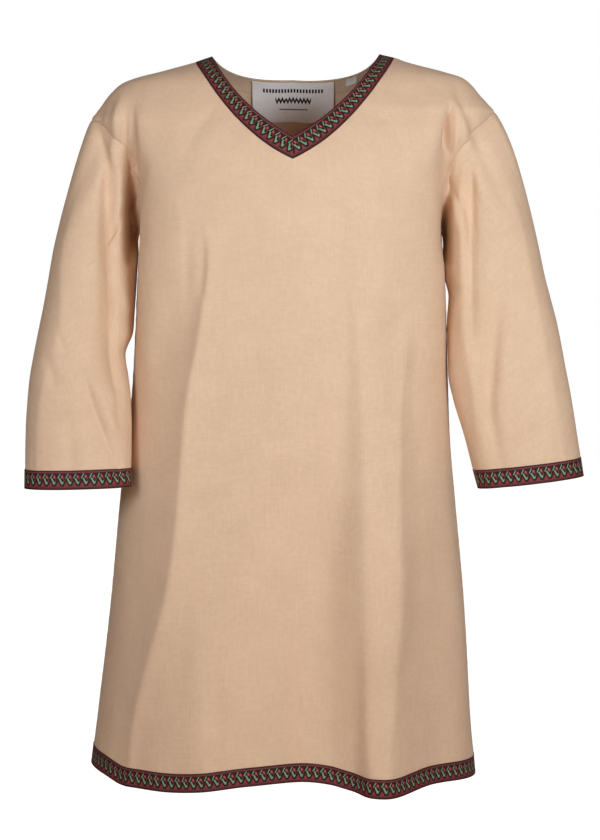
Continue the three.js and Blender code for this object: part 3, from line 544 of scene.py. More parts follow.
def sleeve_section(side, z, angle):
    sleeve = SLEEVES[side]
    rows = sleeve["rows"]
    outer, inner_front, inner_back, front, back = (curve(rows[:, 0], rows[:, k])(z) for k in range(1, 6))
    to_front = np.sin(angle)
    inner = lerp(inner_back, inner_front, smoothstep(to_front, -0.2, 0.9))
    across = bow(np.cos(angle), 2 / ROUND) * (outer - inner) / 2
    x = side * ((outer + inner) / 2 + across)
    out = np.abs(bow(to_front, 2 / ROUND)) * (back - front) / 2
    lift = np.where(to_front > 0, -(out + fold_height("front", x, z, out)),
                    out + fold_height("back", x, z, out))
    y = (front + back) / 2 + lift
    cuffness = smoothstep(-z, -UNDERARM, -rows[-1, 0])
    return np.stack([x, y, z + cuffness * sleeve["tilt"] * across], axis=-1)


RING_ANGLE = np.concatenate([np.pi * (1 - ARM_T[::-1]), np.pi * (1 + ARM_T[1:-1])])
RING = len(RING_ANGLE)
CAP_T = np.concatenate([CLOSE_ROWS, np.linspace(0.05, 1, 46)])
SLEEVE_TUBE_ROWS = 74


def ring_of(front_rows, back_rows):
    """The armhole as a closed ring: tip, down the front, underarm, up the back."""
    return np.concatenate([front_rows[::-1], back_rows[1:-1]])


def sleeve_grid(side, grids):
    column = 0 if side < 0 else COLUMNS - 1
    start = ring_of(*(grids[face][ARM, column] for face in FACES))
    # A column of the panels a little way in shows which way the cloth leaves the armhole.
    end = 0.75
    near = [np.array([v]) for v in (1 - (1 - NECK_SHARE) * (1 - end) ** COLUMN_POWER, side, end, True)]
    inward = armhole_rows(*near, RIDGE[side](np.array([end])))
    inside = ring_of(*(body_point(face, *inward)[:, 0] for face in FACES))
    rows = SLEEVES[side]["rows"]
    top, low = rows[0, 0], rows[-1, 0]
    to = sleeve_section(side, np.full(RING, top), RING_ANGLE)
    onward = sleeve_section(side, np.full(RING, top - 20), RING_ANGLE)
    reach = np.linalg.norm(to - start, axis=1)[:, None]
    leave = unit(start - inside)
    under = smoothstep(4 - np.abs(RING_ANGLE - np.pi) / np.pi * 11, 0, 4)[:, None]
    leave = unit(lerp(leave, np.array([side * 0.8, 0, -0.6]), under))
    fullness = lerp(0.8, SLEEVES[side]["fullness"], (1 + np.cos(RING_ANGLE)) / 2)[:, None]
    arrive = unit(onward - to)
    t = CAP_T[:-1, None, None]
    cap = (start * (1 + 2 * t) * (1 - t) ** 2 + to * t * t * (3 - 2 * t)
           + leave * reach * fullness * t * (1 - t) ** 2 + arrive * reach * 0.8 * t * t * (t - 1))
    z = np.concatenate([np.linspace(top, low + BRAID_WIDTH, SLEEVE_TUBE_ROWS),
                        np.linspace(low + BRAID_WIDTH, low, BRAID_ROWS)[1:]])
    tube = sleeve_section(side, *np.broadcast_arrays(z[:, None], RING_ANGLE))
    return np.concatenate([cap, tube])


# ------------------------------------------------------------------ sheets
def grid_quads(rows, columns, closed=False, keep=None):
    """Quads of a grid of points, as indices into it."""
    j, i = np.meshgrid(np.arange(rows - 1), np.arange(columns if closed else columns - 1), indexing="ij")
    k = (i + 1) % columns
    here, below = j * columns, (j + 1) * columns
    quads = np.stack([here + i, here + k, below + k, below + i], axis=-1).reshape(-1, 4)
    return quads if keep is None else quads[keep[quads].all(axis=1)]


def sheet_normals(points, quads):
    p = points[quads]
    n = np.cross(p[:, 2] - p[:, 0], p[:, 3] - p[:, 1])
    total = np.zeros_like(points)
    for corner in range(4):
        np.add.at(total, quads[:, corner], n)
    return unit(total)


def nearest_on(line, x, z):
    """For points seen from the front: how far off a line is, on which side, and its values there."""
    best = np.full(x.shape, 1e12)
    side = np.ones(x.shape)
    values = np.zeros((*x.shape, line.shape[1]))
    for a, b in zip(line[:-1], line[1:]):
        dx, dz = b[:2] - a[:2]
        s = np.clip(((x - a[0]) * dx + (z - a[1]) * dz) / (dx * dx + dz * dz), 0, 1)
        away = (x - a[0] - s * dx) ** 2 + (z - a[1] - s * dz) ** 2
        closer = away < best
        best = np.where(closer, away, best)
        side = np.where(closer, np.sign(dx * (z - a[1]) - dz * (x - a[0])), side)
        values[closer] = (a + (b - a) * s[..., None])[closer]
    return np.sqrt(best), side, values


def crease_height(face, x, z):
    total = np.zeros_like(x)
    for kind, line in PLEATS[face]:
        away, side, values = nearest_on(through(line, 5), x, z)
        half = np.where(side > 0, values[..., 4], values[..., 3])
        if kind == "sharp":
            away = np.sqrt(away**2 + EDGE_ROUNDING) - EDGE_ROUNDING**0.5
            total += values[..., 2] * np.exp(-away / half)
        else:
            total += values[..., 2] * np.exp(-((away / half) ** 2))
    for half, height, line in CREASES[face]:
        line = through(line, 6) if len(line) > 2 else np.array(line, float)
        share = np.linspace(0, 1, len(line))[:, None]
        away, _, values = nearest_on(np.hstack([line, share]), x, z)
        fade = np.sin(np.pi * np.clip(values[..., 2], 0.001, 0.999)) ** 0.7
        total += height * fade * np.exp(-((away / half) ** 2))
    return total


def pinch(grid):
    """Push the front of the cloth back into the armpits; what lies further back stays."""
    grid = grid.copy()
    for line in PINCHES:
        away, side, values = nearest_on(np.array(line, float), grid[..., 0], grid[..., 2])
        half = np.where(side > 0, values[..., 4], values[..., 3])
        at_front = smoothstep(-grid[..., 1], -18, 14)
        grid[..., 1] += values[..., 2] * np.exp(-((away / half) ** 2)) * at_front
    return grid


def ripple(u, v, seed, count=26):
    """A soft unevenness of the cloth, the sum of slow waves, mostly upright."""
    rng = np.random.default_rng(seed)
    total = np.zeros_like(u)
    for _ in range(count):
        length = rng.uniform(34, 150)
        tilt = rng.normal(0, 0.5)
        ku, kv = math.cos(tilt) / length, math.sin(tilt) / length * 0.6
        total += length / 150 * np.sin(2 * np.pi * (ku * u + kv * v) + rng.uniform(0, 6.28))
    return total / count**0.5


def arcs(points, axis):
    """Distance along one direction of a grid from its first line."""
    step = np.linalg.norm(np.diff(points, axis=axis), axis=-1)
    pad = [(0, 0), (0, 0)]
    pad[axis] = (1, 0)
    return np.cumsum(np.pad(step, pad), axis=axis)


def groove(distance, depth=0.6, width=1.2):
    """A sewn seam: the cloth dips into it and swells a little beside it."""
    dip = np.exp(-((distance / width) ** 2))
    swell = np.exp(-(((distance - 4) / 2.4) ** 2))
    return depth * (0.2 * swell - dip)


def puckers(run, distance, seed, height, reach):
    """Small puckers square to a line of stitches."""
    rng = np.random.default_rng(seed)
    total = np.zeros_like(run)
    for _ in range(7):
        total += np.sin(run * 2 * np.pi / rng.uniform(8, 26) + rng.uniform(0, 6.28))
    return height * total / 7**0.5 * np.exp(-distance / reach) * smoothstep(distance, -1, 2)


# The four pieces of cotton, as grids.
grids = {face: panel_grid(face) for face in FACES}
sleeve_grids = {side: sleeve_grid(side, grids) for side in SIDES}
ROWS = len(grids["front"])
ON_PANEL = np.ones((ROWS, COLUMNS), bool)
ON_PANEL[TIP_ROW + 1:, ON_SHOULDER & (END > 0)] = False
PANEL_QUADS = grid_quads(ROWS, COLUMNS, keep=ON_PANEL.ravel())
SLEEVE_ROWS = len(sleeve_grids[1])
SLEEVE_QUADS = grid_quads(SLEEVE_ROWS, RING, closed=True)
quads = {
    "front_panel": PANEL_QUADS,
    "back_panel": PANEL_QUADS[:, ::-1],
    "left_sleeve": SLEEVE_QUADS[:, ::-1],
    "right_sleeve": SLEEVE_QUADS,
}
points = {
    "front_panel": grids["front"],
    "back_panel": grids["back"],
    "left_sleeve": sleeve_grids[-1],
    "right_sleeve": sleeve_grids[1],
}


def normals_of(name):
    grid = points[name]
    return sheet_normals(grid.reshape(-1, 3), quads[name]).reshape(grid.shape)


# Seams, creases and unevenness move the cloth in or out.
UNEVENNESS = 0.7
UNDER_BRAID = 0.4      # how much of the folds the cotton keeps under the neck braid
SEEDS = {
    "front": {"seam": 3, "ripple": 7},
    "back": {"seam": 4, "ripple": 8},
    "hem": 5, "neck": 6, "armhole": 9, "cuff": 12, "sleeve": 14,
}


def panel_relief(face, grid):
    """How far seams, creases and unevenness move a panel's cloth out."""
    row = np.arange(ROWS)[:, None]
    u, v = arcs(grid, 1), arcs(grid, 0)
    u_middle = u - u[:, MIDDLE:MIDDLE + 1]
    edge = np.minimum(u, u[:, -1:] - u)
    beside = np.where(row <= TIP_ROW, edge, AFAR)
    to_top = np.where(ON_SHOULDER, v[TIP_ROW] - v, AFAR)
    seams = groove(beside) + puckers(v, beside, SEEDS[face]["seam"], 0.3, 10)
    seams += np.where(row <= TIP_ROW, groove(np.abs(to_top)), 0)
    above_hem = v - v[BRAID_ROWS - 1]
    below_neck = np.where(ON_SHOULDER, AFAR, v[TIP_ROW] - v)
    stitched = np.where(above_hem > 0, puckers(u_middle, above_hem, SEEDS["hem"], 0.4, 12), 0)
    stitched += np.where(below_neck > 0, puckers(u_middle, below_neck, SEEDS["neck"], 0.35, 10), 0)
    creases = crease_height(face, grid[..., 0], grid[..., 2])
    creases *= np.where(row < SKIRT_ROWS, smoothstep(edge, 0, 6), 1)
    uneven = UNEVENNESS * smoothstep(edge, 0, 25) * ripple(u_middle, v, SEEDS[face]["ripple"])
    height = creases + seams + stitched + uneven
    height[TIP_ROW + 1:] = UNDER_BRAID * height[TIP_ROW]
    return height


def sleeve_relief(side, grid):
    """The same for a sleeve."""
    x, z = grid[..., 0], grid[..., 2]
    u, v = arcs(grid, 1), arcs(grid, 0)
    front = smoothstep(np.sin(RING_ANGLE), -0.25, 0.25)
    height = front * crease_height("front", x, z) + (1 - front) * crease_height("back", x, z)
    height += groove(v) + puckers(u, v, SEEDS["armhole"] + side, 0.3, 10)
    under = np.abs(u - u[:, ARM_ROWS - 1:ARM_ROWS])
    height += 0.7 * groove(under) * smoothstep(v, 0, 20)
    above_cuff = v[-BRAID_ROWS] - v
    height += np.where(above_cuff > 0, puckers(u, above_cuff, SEEDS["cuff"] + side, 0.4, 12), 0)
    round_it = 0 * v + 60 * np.cos(RING_ANGLE) + 90 * np.sin(RING_ANGLE)
    return height + UNEVENNESS * smoothstep(v, 0, 30) * ripple(round_it, v, SEEDS["sleeve"] + side)


def relief(name):
    if name.endswith("panel"):
        return panel_relief(name.split("_")[0], points[name])
    return sleeve_relief(-1 if name.startswith("left") else 1, points[name])


def ring_places(face):
    """For each row of a panel's armhole, its place on the sleeve's ring."""
    k = ARM_ROWS - 1 - np.arange(ARM_ROWS)
    return k if face == "front" else (RING - k) % RING


def panel_normals_at(side, panel_normals):
    """The panels' normals round an armhole, in the order of the sleeve's ring."""
    column = 0 if side < 0 else COLUMNS - 1
    total = np.zeros((RING, 3))
    for face in FACES:
        np.add.at(total, ring_places(face), panel_normals[face][ARM, column])
    return unit(total)


def ways_of(name):
    """Which way the cloth moves: along its normals, and at an armhole like the body's panels."""
    ways = normals_of(name)
    if name.endswith("sleeve"):
        panel_normals = {face: normals_of(face + "_panel") for face in FACES}
        at_seam = panel_normals_at(-1 if name.startswith("left") else 1, panel_normals)
        near = smoothstep(arcs(points[name], 0), 0, 25)[..., None]
        ways = unit(lerp(at_seam[None], ways, near))
    return ways


moves = {name: ways_of(name) * relief(name)[..., None] for name in points}
for name in points:
    points[name] = pinch(points[name] + moves[name])
normals = {name: normals_of(name) for name in points}


# ------------------------------------------------------------------ seams
MITRE_LIMIT = 1.8      # the longest mitred normal


def mitre(a, b):
    """The normal along which two walls that meet at an angle stay equally thick."""
    total = a + b
    m = 2 * total / np.maximum(np.sum(total**2, axis=-1, keepdims=True), 1e-9)
    length = np.linalg.norm(m, axis=-1, keepdims=True)
    return m * np.minimum(1, MITRE_LIMIT / np.maximum(length, 1e-9))


def join_seams():
    """Both sides of a seam share their line and their normal, and stand a little apart."""
    half = SEAM_GAP / 2
    for side, name in zip(SIDES, ("left_sleeve", "right_sleeve")):
        column = 0 if side < 0 else COLUMNS - 1
        at_panels = panel_normals_at(side, {face: normals[face + "_panel"] for face in FACES})
        shared = mitre(normals[name][0], at_panels)
        ends = [0, ARM_ROWS - 1]
        shared[ends, 1] = 0
        line = points[name][0]
        across = unit(np.cross(np.roll(line, -1, 0) - np.roll(line, 1, 0), shared))
        across *= np.sign(np.sum(across * (points[name][2] - line), axis=1, keepdims=True))
        normals[name][0] = shared
        points[name][0] = line + across * half
        for face in FACES:
            places = ring_places(face)
            panel = face + "_panel"
            normals[panel][ARM, column] = shared[places]
            points[panel][ARM, column] = line[places] - across[places] * half
    front, back = points["front_panel"], points["back_panel"]
    nf, nb = normals["front_panel"], normals["back_panel"]
    seam = np.zeros((ROWS, COLUMNS), bool)
    seam[:SKIRT_ROWS, [0, -1]] = True
    seam[TIP_ROW:, ON_SHOULDER] = True
    seam[TIP_ROW, [0, -1]] = False
    middle = (front[seam] + back[seam]) / 2
    middle[:, 1] = 0
    shared = mitre(nf[seam], nb[seam])
    shared[:, 1] = 0
    nf[seam], nb[seam] = shared, shared
    front[seam], back[seam] = middle, middle
    seam[SKIRT_ROWS, [0, -1]] = True
    seam[TIP_ROW, [0, -1]] = True
    front[seam, 1] -= half
    back[seam, 1] += half


join_seams()


# ------------------------------------------------------------------ meshes
def new_mesh(name, vertices, faces, face_material=None, uv=None):
    """A mesh from vertices in millimetres and a list of arrays of faces."""
    mesh = bpy.data.meshes.new(name)
    mesh.vertices.add(len(vertices))
    mesh.vertices.foreach_set("co", (np.asarray(vertices) * MM).astype(np.float32).ravel())
    loops = np.concatenate([f.ravel() for f in faces]).astype(np.int32)
    sizes = np.concatenate([np.full(len(f), f.shape[1]) for f in faces])
    mesh.loops.add(len(loops))
    mesh.loops.foreach_set("vertex_index", loops)
    mesh.polygons.add(len(sizes))
    mesh.polygons.foreach_set("loop_start", np.concatenate([[0], np.cumsum(sizes)[:-1]]).astype(np.int32))
    if face_material is not None:
        mesh.polygons.foreach_set("material_index", face_material.astype(np.int32))
    mesh.update(calc_edges=True)
    if uv is not None:
        layer = mesh.uv_layers.new(name="UVMap")
        layer.data.foreach_set("uv", (uv[loops] * MM).astype(np.float32).ravel())
    mesh.polygons.foreach_set("use_smooth", np.ones(len(sizes), bool))
    mesh.set_sharp_from_angle(angle=math.radians(55))
    mesh.validate()
    piece = bpy.data.objects.new(name, mesh)
    bpy.context.scene.collection.objects.link(piece)
    return piece


def between(grid, i, j):
    """A grid's value at a fractional column i and row j."""
    i0 = np.clip(i.astype(int), 0, grid.shape[1] - 2)
    j0 = np.clip(j.astype(int), 0, grid.shape[0] - 2)
    fi, fj = (i - i0)[:, None], (j - j0)[:, None]
    low = lerp(grid[j0, i0], grid[j0, i0 + 1], fi)
    return lerp(low, lerp(grid[j0 + 1, i0], grid[j0 + 1, i0 + 1], fi), fj)


def shell(sheet, out, faces, low, high):
    """A closed shell between two copies of a sheet, low and high mm out. Unused points are dropped."""
    used = np.unique(faces)
    place = np.full(len(sheet), -1)
    place[used] = np.arange(len(used))
    faces = place[faces]
    sheet, out = sheet[used], out[used]
    size = len(used)
    edges = np.concatenate([faces[:, [k, (k + 1) % faces.shape[1]]] for k in range(faces.shape[1])])
    code = edges[:, 0].astype(np.int64) * size + edges[:, 1]
    back = edges[:, 1].astype(np.int64) * size + edges[:, 0]
    rim = edges[~np.isin(back, code)]
    walls = np.stack([rim[:, 0] + size, rim[:, 1] + size, rim[:, 1], rim[:, 0]], axis=-1)
    vertices = np.concatenate([sheet + out * high, sheet + out * low])
    return vertices, [faces, faces[:, ::-1] + size, walls], used, len(rim)


def make_cloth(name):
    """A cotton piece; its UV is its own length and width, counted from the middle or the underarm."""
    grid = points[name]
    vertices, faces, used, _ = shell(grid.reshape(-1, 3), normals[name].reshape(-1, 3), quads[name],
                                     -CLOTH / 2, CLOTH / 2)
    u, v = arcs(grid, 1), arcs(grid, 0)
    zero = MIDDLE if name.endswith("panel") else ARM_ROWS - 1
    uv = np.stack([u - u[:, zero:zero + 1], v], axis=-1).reshape(-1, 2)[used]
    return new_mesh(name + "_cotton", vertices, faces, uv=np.concatenate([uv, uv]))


# ------------------------------------------------------------------ woven braid
PITCH = 9.1                            # one repeat
STITCH_LINES = (0.03, 0.965)           # across the ribbon
STITCH_CLEARANCE = 0.02
DARK, MAROON, LINE, GREEN, PINK, LEG, TRIANGLE, THREAD = range(8)
# The pattern in one repeat: across the repeat, and across the ribbon from its first edge.
BORDERS = [(0.04, DARK), (0.095, MAROON), (0.12, LINE), (0.15, MAROON),
           (0.83, DARK), (0.85, LINE), (0.93, MAROON), (1, DARK)]
MOTIFS = [
    (GREEN, [(0.0, 0.405), (0.14, 0.405), (0.44, 0.17), (0.31, 0.17)]),
    (GREEN, [(0.20, 0.405), (0.39, 0.39), (0.60, 0.575), (0.70, 0.60),
             (0.85, 0.565), (0.71, 0.71), (0.55, 0.72)]),
    (PINK, [(0.45, 0.33), (0.54, 0.255), (0.66, 0.24), (0.77, 0.33), (0.70, 0.41), (0.56, 0.40)]),
    (LEG, [(0.77, 0.33), (0.87, 0.42), (0.96, 0.54), (0.87, 0.56), (0.78, 0.47), (0.70, 0.41)]),
    (TRIANGLE, [(0.17, 0.585), (0.42, 0.815), (-0.15, 0.815)]),
]


def clip(polygon, normal, limit):
    """The part of a polygon where normal . p <= limit."""
    kept = []
    for a, b in zip(polygon, polygon[1:] + polygon[:1]):
        da = normal[0] * a[0] + normal[1] * a[1] - limit
        db = normal[0] * b[0] + normal[1] * b[1] - limit
        if da <= 0:
            kept.append(a)
        if da * db < 0:
            share = da / (da - db)
            kept.append((a[0] + (b[0] - a[0]) * share, a[1] + (b[1] - a[1]) * share))
    return kept if len(kept) > 2 else []


def within(polygon, x, y):
    odd = np.zeros(np.shape(x), bool)
    for (x0, y0), (x1, y1) in zip(polygon, polygon[1:] + polygon[:1]):
        if y0 != y1:
            odd ^= ((y0 > y) != (y1 > y)) & (x < x0 + (y - y0) / (y1 - y0) * (x1 - x0))
    return odd


def woven_flat(length, slant_start, slant_end):
    """A ribbon laid flat, in mm, its ends cut on a slant: triangles with their colours.

    Across the ribbon y runs from 0 to its width. An end's slant is how far its y = width side leads.
    """
    spots, edges = [], []
    ends = [lambda y: (y / BRAID_WIDTH - 0.5) * slant_start,
            lambda y: length + (y / BRAID_WIDTH - 0.5) * slant_end]
    half = [(-1, slant_start / BRAID_WIDTH, slant_start / 2),
            (1, -slant_end / BRAID_WIDTH, length - slant_end / 2)]

    def line(points, closed):
        first = len(spots)
        spots.extend(Vector(p) for p in points)
        last = len(points) if closed else len(points) - 1
        edges.extend((first + k, first + (k + 1) % len(points)) for k in range(last))

    def across(y, step):
        low, high = (end(y) for end in ends)
        inner = np.arange(math.ceil((low + 0.4) / step), (high - 0.4) / step) * step
        return [(x, y) for x in [low, *inner, high]]

    shapes = [(colour, [(x * PITCH, y * BRAID_WIDTH) for x, y in shape]) for colour, shape in MOTIFS]
    spread = max(abs(slant_start), abs(slant_end)) / 2
    first, last = math.floor(-spread / PITCH) - 1, math.ceil((length + spread) / PITCH)
    for repeat in range(first, last + 1):
        for _, shape in shapes:
            polygon = [(x + repeat * PITCH, y) for x, y in shape]
            for a, b, limit in half:
                polygon = clip(polygon, (a, b), limit) if polygon else polygon
            if polygon:
                line(polygon, True)
    levels = [0] + [high * BRAID_WIDTH for high, _ in BORDERS]
    for y in levels:
        line(across(y, PITCH / 4), False)
    for y in (0.23, 0.32, 0.5, 0.6, 0.7, 0.77):
        spots.extend(Vector(p) for p in across(y * BRAID_WIDTH, PITCH / 3))
    for end in ends:
        line([(end(y), y) for y in levels], False)
    flat, _, faces, *_ = delaunay_2d_cdt(spots, edges, [], 0, 1e-4)
    flat = np.array([tuple(p) for p in flat])
    faces = np.array([tuple(f) for f in faces])
    a, b, c = (flat[faces[:, k]] for k in range(3))
    area = (b[:, 0] - a[:, 0]) * (c[:, 1] - a[:, 1]) - (b[:, 1] - a[:, 1]) * (c[:, 0] - a[:, 0])
    faces = faces[np.abs(area) > 1e-6]
    faces = np.where((area[np.abs(area) > 1e-6] > 0)[:, None], faces[:, ::-1], faces)
    x, y = flat[faces].mean(axis=1).T
    colours = np.array([colour for _, colour in BORDERS])[np.searchsorted(levels[1:], y)]
    for colour, shape in shapes:
        for repeat in (-1, 0, 1):
            colours[within(shape, np.mod(x, PITCH) + repeat * PITCH, y)] = colour
    return flat, faces, colours


def ribbon_surface(grid_rows, normal_rows):
    """A strip of cloth as a function of the way along it and the way across it, both in mm."""
    count = len(grid_rows) - 1
    middle = (grid_rows[0] + grid_rows[-1]) / 2
    run = np.concatenate([[0], np.cumsum(np.linalg.norm(np.diff(middle, axis=0), axis=1))])
    along_it = unit(np.gradient(middle, axis=0))
    slant = np.sum((grid_rows[-1] - grid_rows[0]) * along_it, axis=1)

    def at(s, y):
        t = y / BRAID_WIDTH
        place = np.interp(s, run, np.arange(len(run)))
        for _ in range(12):
            k = np.clip(place.astype(int), 0, len(run) - 2)
            f = place - k
            here = lerp(run[k], run[k + 1], f) + (t - 0.5) * lerp(slant[k], slant[k + 1], f)
            place = np.clip(place + (s - here) / np.maximum(run[k + 1] - run[k], 0.2) * 0.7, 0, len(run) - 1)
        return tuple(between(g, place, t * count) for g in (grid_rows, normal_rows))
    return at, run[-1], slant[0], slant[-1]


def stitches(at, start, length, across, lift, pitch=3.1, size=2.2, radius=0.16):
    """A row of small stitches along a ribbon."""
    count = int((length - start) / pitch)
    s = start + (np.arange(count) + 0.5) * (length - start) / count
    ring = [(math.cos(a), math.sin(a)) for a in np.arange(4) * math.pi / 2 + math.pi / 4]
    centre, out = at(s, np.full(count, across))
    forward = unit(at(s + 0.5, np.full(count, across))[0] - at(s - 0.5, np.full(count, across))[0])
    out = unit(out)
    sideways = unit(np.cross(forward, out))
    vertices = []
    for way, thick in [(-size / 2, 0), (-size * 0.38, 1), (0, 1.1), (size * 0.38, 1), (size / 2, 0)]:
        for c, d in (ring if thick else [(0, 0)]):
            side_step = sideways * radius * thick * c + forward * way
            vertices.append(centre + out * (lift + radius * thick * d) + side_step)
    vertices = np.stack(vertices, axis=1)
    tri, quad = [], []
    for k in range(4):
        n = (k + 1) % 4
        tri += [(0, 1 + n, 1 + k), (13, 9 + k, 9 + n)]
        quad += [(r + k, r + n, r + 4 + n, r + 4 + k) for r in (1, 5)]
    base = np.arange(count)[:, None, None] * vertices.shape[1]
    tris, quads = (base + np.array(tri)).reshape(-1, 3), (base + np.array(quad)).reshape(-1, 4)
    return vertices.reshape(-1, 3), tris, quads


def make_braid(name, grid_rows, normal_rows, closed):
    """A woven ribbon on a strip of the cotton, sewn on along both its edges."""
    if closed:
        grid_rows = np.concatenate([grid_rows, grid_rows[:, :1]], axis=1)
        normal_rows = np.concatenate([normal_rows, normal_rows[:, :1]], axis=1)
    at, length, slant_start, slant_end = ribbon_surface(grid_rows, normal_rows)
    flat_length = round(length / PITCH) * PITCH if closed else length
    if closed:
        slant_start = slant_end = 0
    flat, tris, colour = woven_flat(flat_length, slant_start, slant_end)
    if closed:
        # The ribbon's two ends become one line of points.
        flat[:, 0] = np.where(flat[:, 0] > flat_length - 1e-3, 0, flat[:, 0])
        _, first, same = np.unique(np.round(flat, 3), axis=0, return_index=True, return_inverse=True)
        flat, tris = flat[first], same.ravel()[tris]
    sheet, out = at(flat[:, 0] * length / flat_length, flat[:, 1])
    low = CLOTH / 2 + BRAID_LIFT
    vertices, parts, used, rim = shell(sheet, out, tris, low, low + BRAID_WALL)
    uv = np.concatenate([flat[used], flat[used]])
    material = [colour, np.full(len(tris), DARK), np.full(rim, DARK)]
    for share in STITCH_LINES:
        first = max(0, (share - 0.5) * slant_start) + 0.6
        last = length + min(0, (share - 0.5) * slant_end) - 0.6
        for lift in (low + BRAID_WALL + STITCH_CLEARANCE, -CLOTH / 2 - STITCH_CLEARANCE):
            more, tri, quad = stitches(at, first, last, share * BRAID_WIDTH, lift)
            parts += [tri + len(vertices), quad + len(vertices)]
            vertices = np.concatenate([vertices, more])
            uv = np.concatenate([uv, more[:, :2]])
            material += [np.full(len(tri) + len(quad), THREAD)]
    return new_mesh(name + "_woven", vertices, parts, np.concatenate(material), uv)


# ------------------------------------------------------------------ tags in the neck
def make_tag(name, middle, width, height, bulge):
    """A tag sewn along its top edge inside the back of the neck, as a piece and as a function of place."""
    back = np.concatenate([points["back_panel"], normals["back_panel"]], axis=-1)
    across, down = max(6, int(width / 2)), max(6, int(height / 2))
    x = middle + width * np.linspace(-0.5, 0.5, across + 1)
    neck = back[-1, ON_PANEL[-1]]
    order = np.argsort(neck[:, 0])
    top = np.interp(x, neck[order, 0], neck[order, 2]) - 1.2
    cloth = np.zeros((down + 1, across + 1, 6))
    for i, xi in enumerate(x):
        # A line straight down the cloth of the back at this place: points and normals.
        line = []
        for row, on in zip(back[SKIRT_ROWS - 10:], ON_PANEL[SKIRT_ROWS - 10:]):
            row = row[on]
            row = row[np.argsort(row[:, 0])]
            if row[0, 0] <= xi <= row[-1, 0]:
                line.append([np.interp(xi, row[:, 0], row[:, k]) for k in range(6)])
        line = np.array(line)
        line = line[np.argsort(-line[:, 2])]
        line = line[line[:, 2] <= top[i] + 3]
        run = np.concatenate([[0], np.cumsum(np.linalg.norm(np.diff(line[:, :3], axis=0), axis=1))])
        where = np.interp(-top[i], -line[:, 2], run) + height * np.linspace(0, 1, down + 1)
        cloth[:, i] = np.stack([np.interp(where, run, line[:, k]) for k in range(6)], axis=-1)
    grid, out = cloth[..., :3], -unit(cloth[..., 3:])
    u = np.linspace(0, 1, across + 1)[None, :]
    v = np.linspace(0, 1, down + 1)[:, None]
    grid = grid + out * (CLOTH / 2 + TAG_LIFT + bulge(u, v))[..., None]
    faces = grid_quads(down + 1, across + 1)
    n = sheet_normals(grid.reshape(-1, 3), faces).reshape(grid.shape)
    if np.sum(n * out) < 0:
        faces, n = faces[:, ::-1], -n
    vertices, parts, _, _ = shell(grid.reshape(-1, 3), n.reshape(-1, 3), faces, 0, TAG_WALL)
    uv = np.stack([u * width + 0 * v, v * height + 0 * u], axis=-1).reshape(-1, 2)
    piece = new_mesh(name, vertices, parts, uv=np.concatenate([uv, uv]))

    def at(a, b):
        return tuple(between(g, np.clip(a, 0, 1) * across, np.clip(b, 0, 1) * down) for g in (grid, n))
    return piece, at


def make_marks(name, at, width, height, polygons, step=2.0):
    """Plain printed marks: polygons in the tag's own millimetres, each a thin patch that follows it."""
    vertices, tris, quad_list = [], [], []
    count = 0
    for polygon in polygons:
        spots = [Vector(p) for p in polygon]
        xs, ys = [p[0] for p in polygon], [p[1] for p in polygon]
        for gx in np.arange(math.ceil(min(xs) / step) * step, max(xs), step):
            for gy in np.arange(math.ceil(min(ys) / step) * step, max(ys), step):
                if within(list(polygon), gx, gy):
                    spots.append(Vector((gx, gy)))
        edges = [(k, (k + 1) % len(polygon)) for k in range(len(polygon))]
        flat, _, faces, *_ = delaunay_2d_cdt(spots, edges, [], 1, 1e-4)
        flat = np.array([tuple(p) for p in flat])
        faces = np.array([tuple(f) for f in faces])
        sheet, out = at(flat[:, 0] / width, flat[:, 1] / height)
        p = sheet[faces]
        if np.sum(np.cross(p[:, 1] - p[:, 0], p[:, 2] - p[:, 0]) * out[faces[:, 0]]) < 0:
            faces = faces[:, ::-1]
        v, parts, _, _ = shell(sheet, out, faces, TAG_WALL + 0.02, TAG_WALL + 0.07)
        vertices.append(v)
        tris += [parts[0] + count, parts[1] + count]
        quad_list.append(parts[2] + count)
        count += len(v)
    faces = [np.concatenate(tris), np.concatenate(quad_list)]
    return new_mesh(name, np.concatenate(vertices), faces)


# ------------------------------------------------------------------ materials
def nodes_for(name, colour, roughness, sheen, sheen_roughness, specular):
    material = bpy.data.materials.new(name)
    material.use_nodes = True
    tree = material.node_tree
    shader = tree.nodes["Principled BSDF"]
    shader.inputs["Base Color"].default_value = (*colour, 1)
    shader.inputs["Roughness"].default_value = roughness
    shader.inputs["Sheen Weight"].default_value = sheen
    shader.inputs["Sheen Roughness"].default_value = sheen_roughness
    shader.inputs["Sheen Tint"].default_value = (1.0, 0.93, 0.86, 1)
    shader.inputs["Specular IOR Level"].default_value = specular
    return material, tree, shader


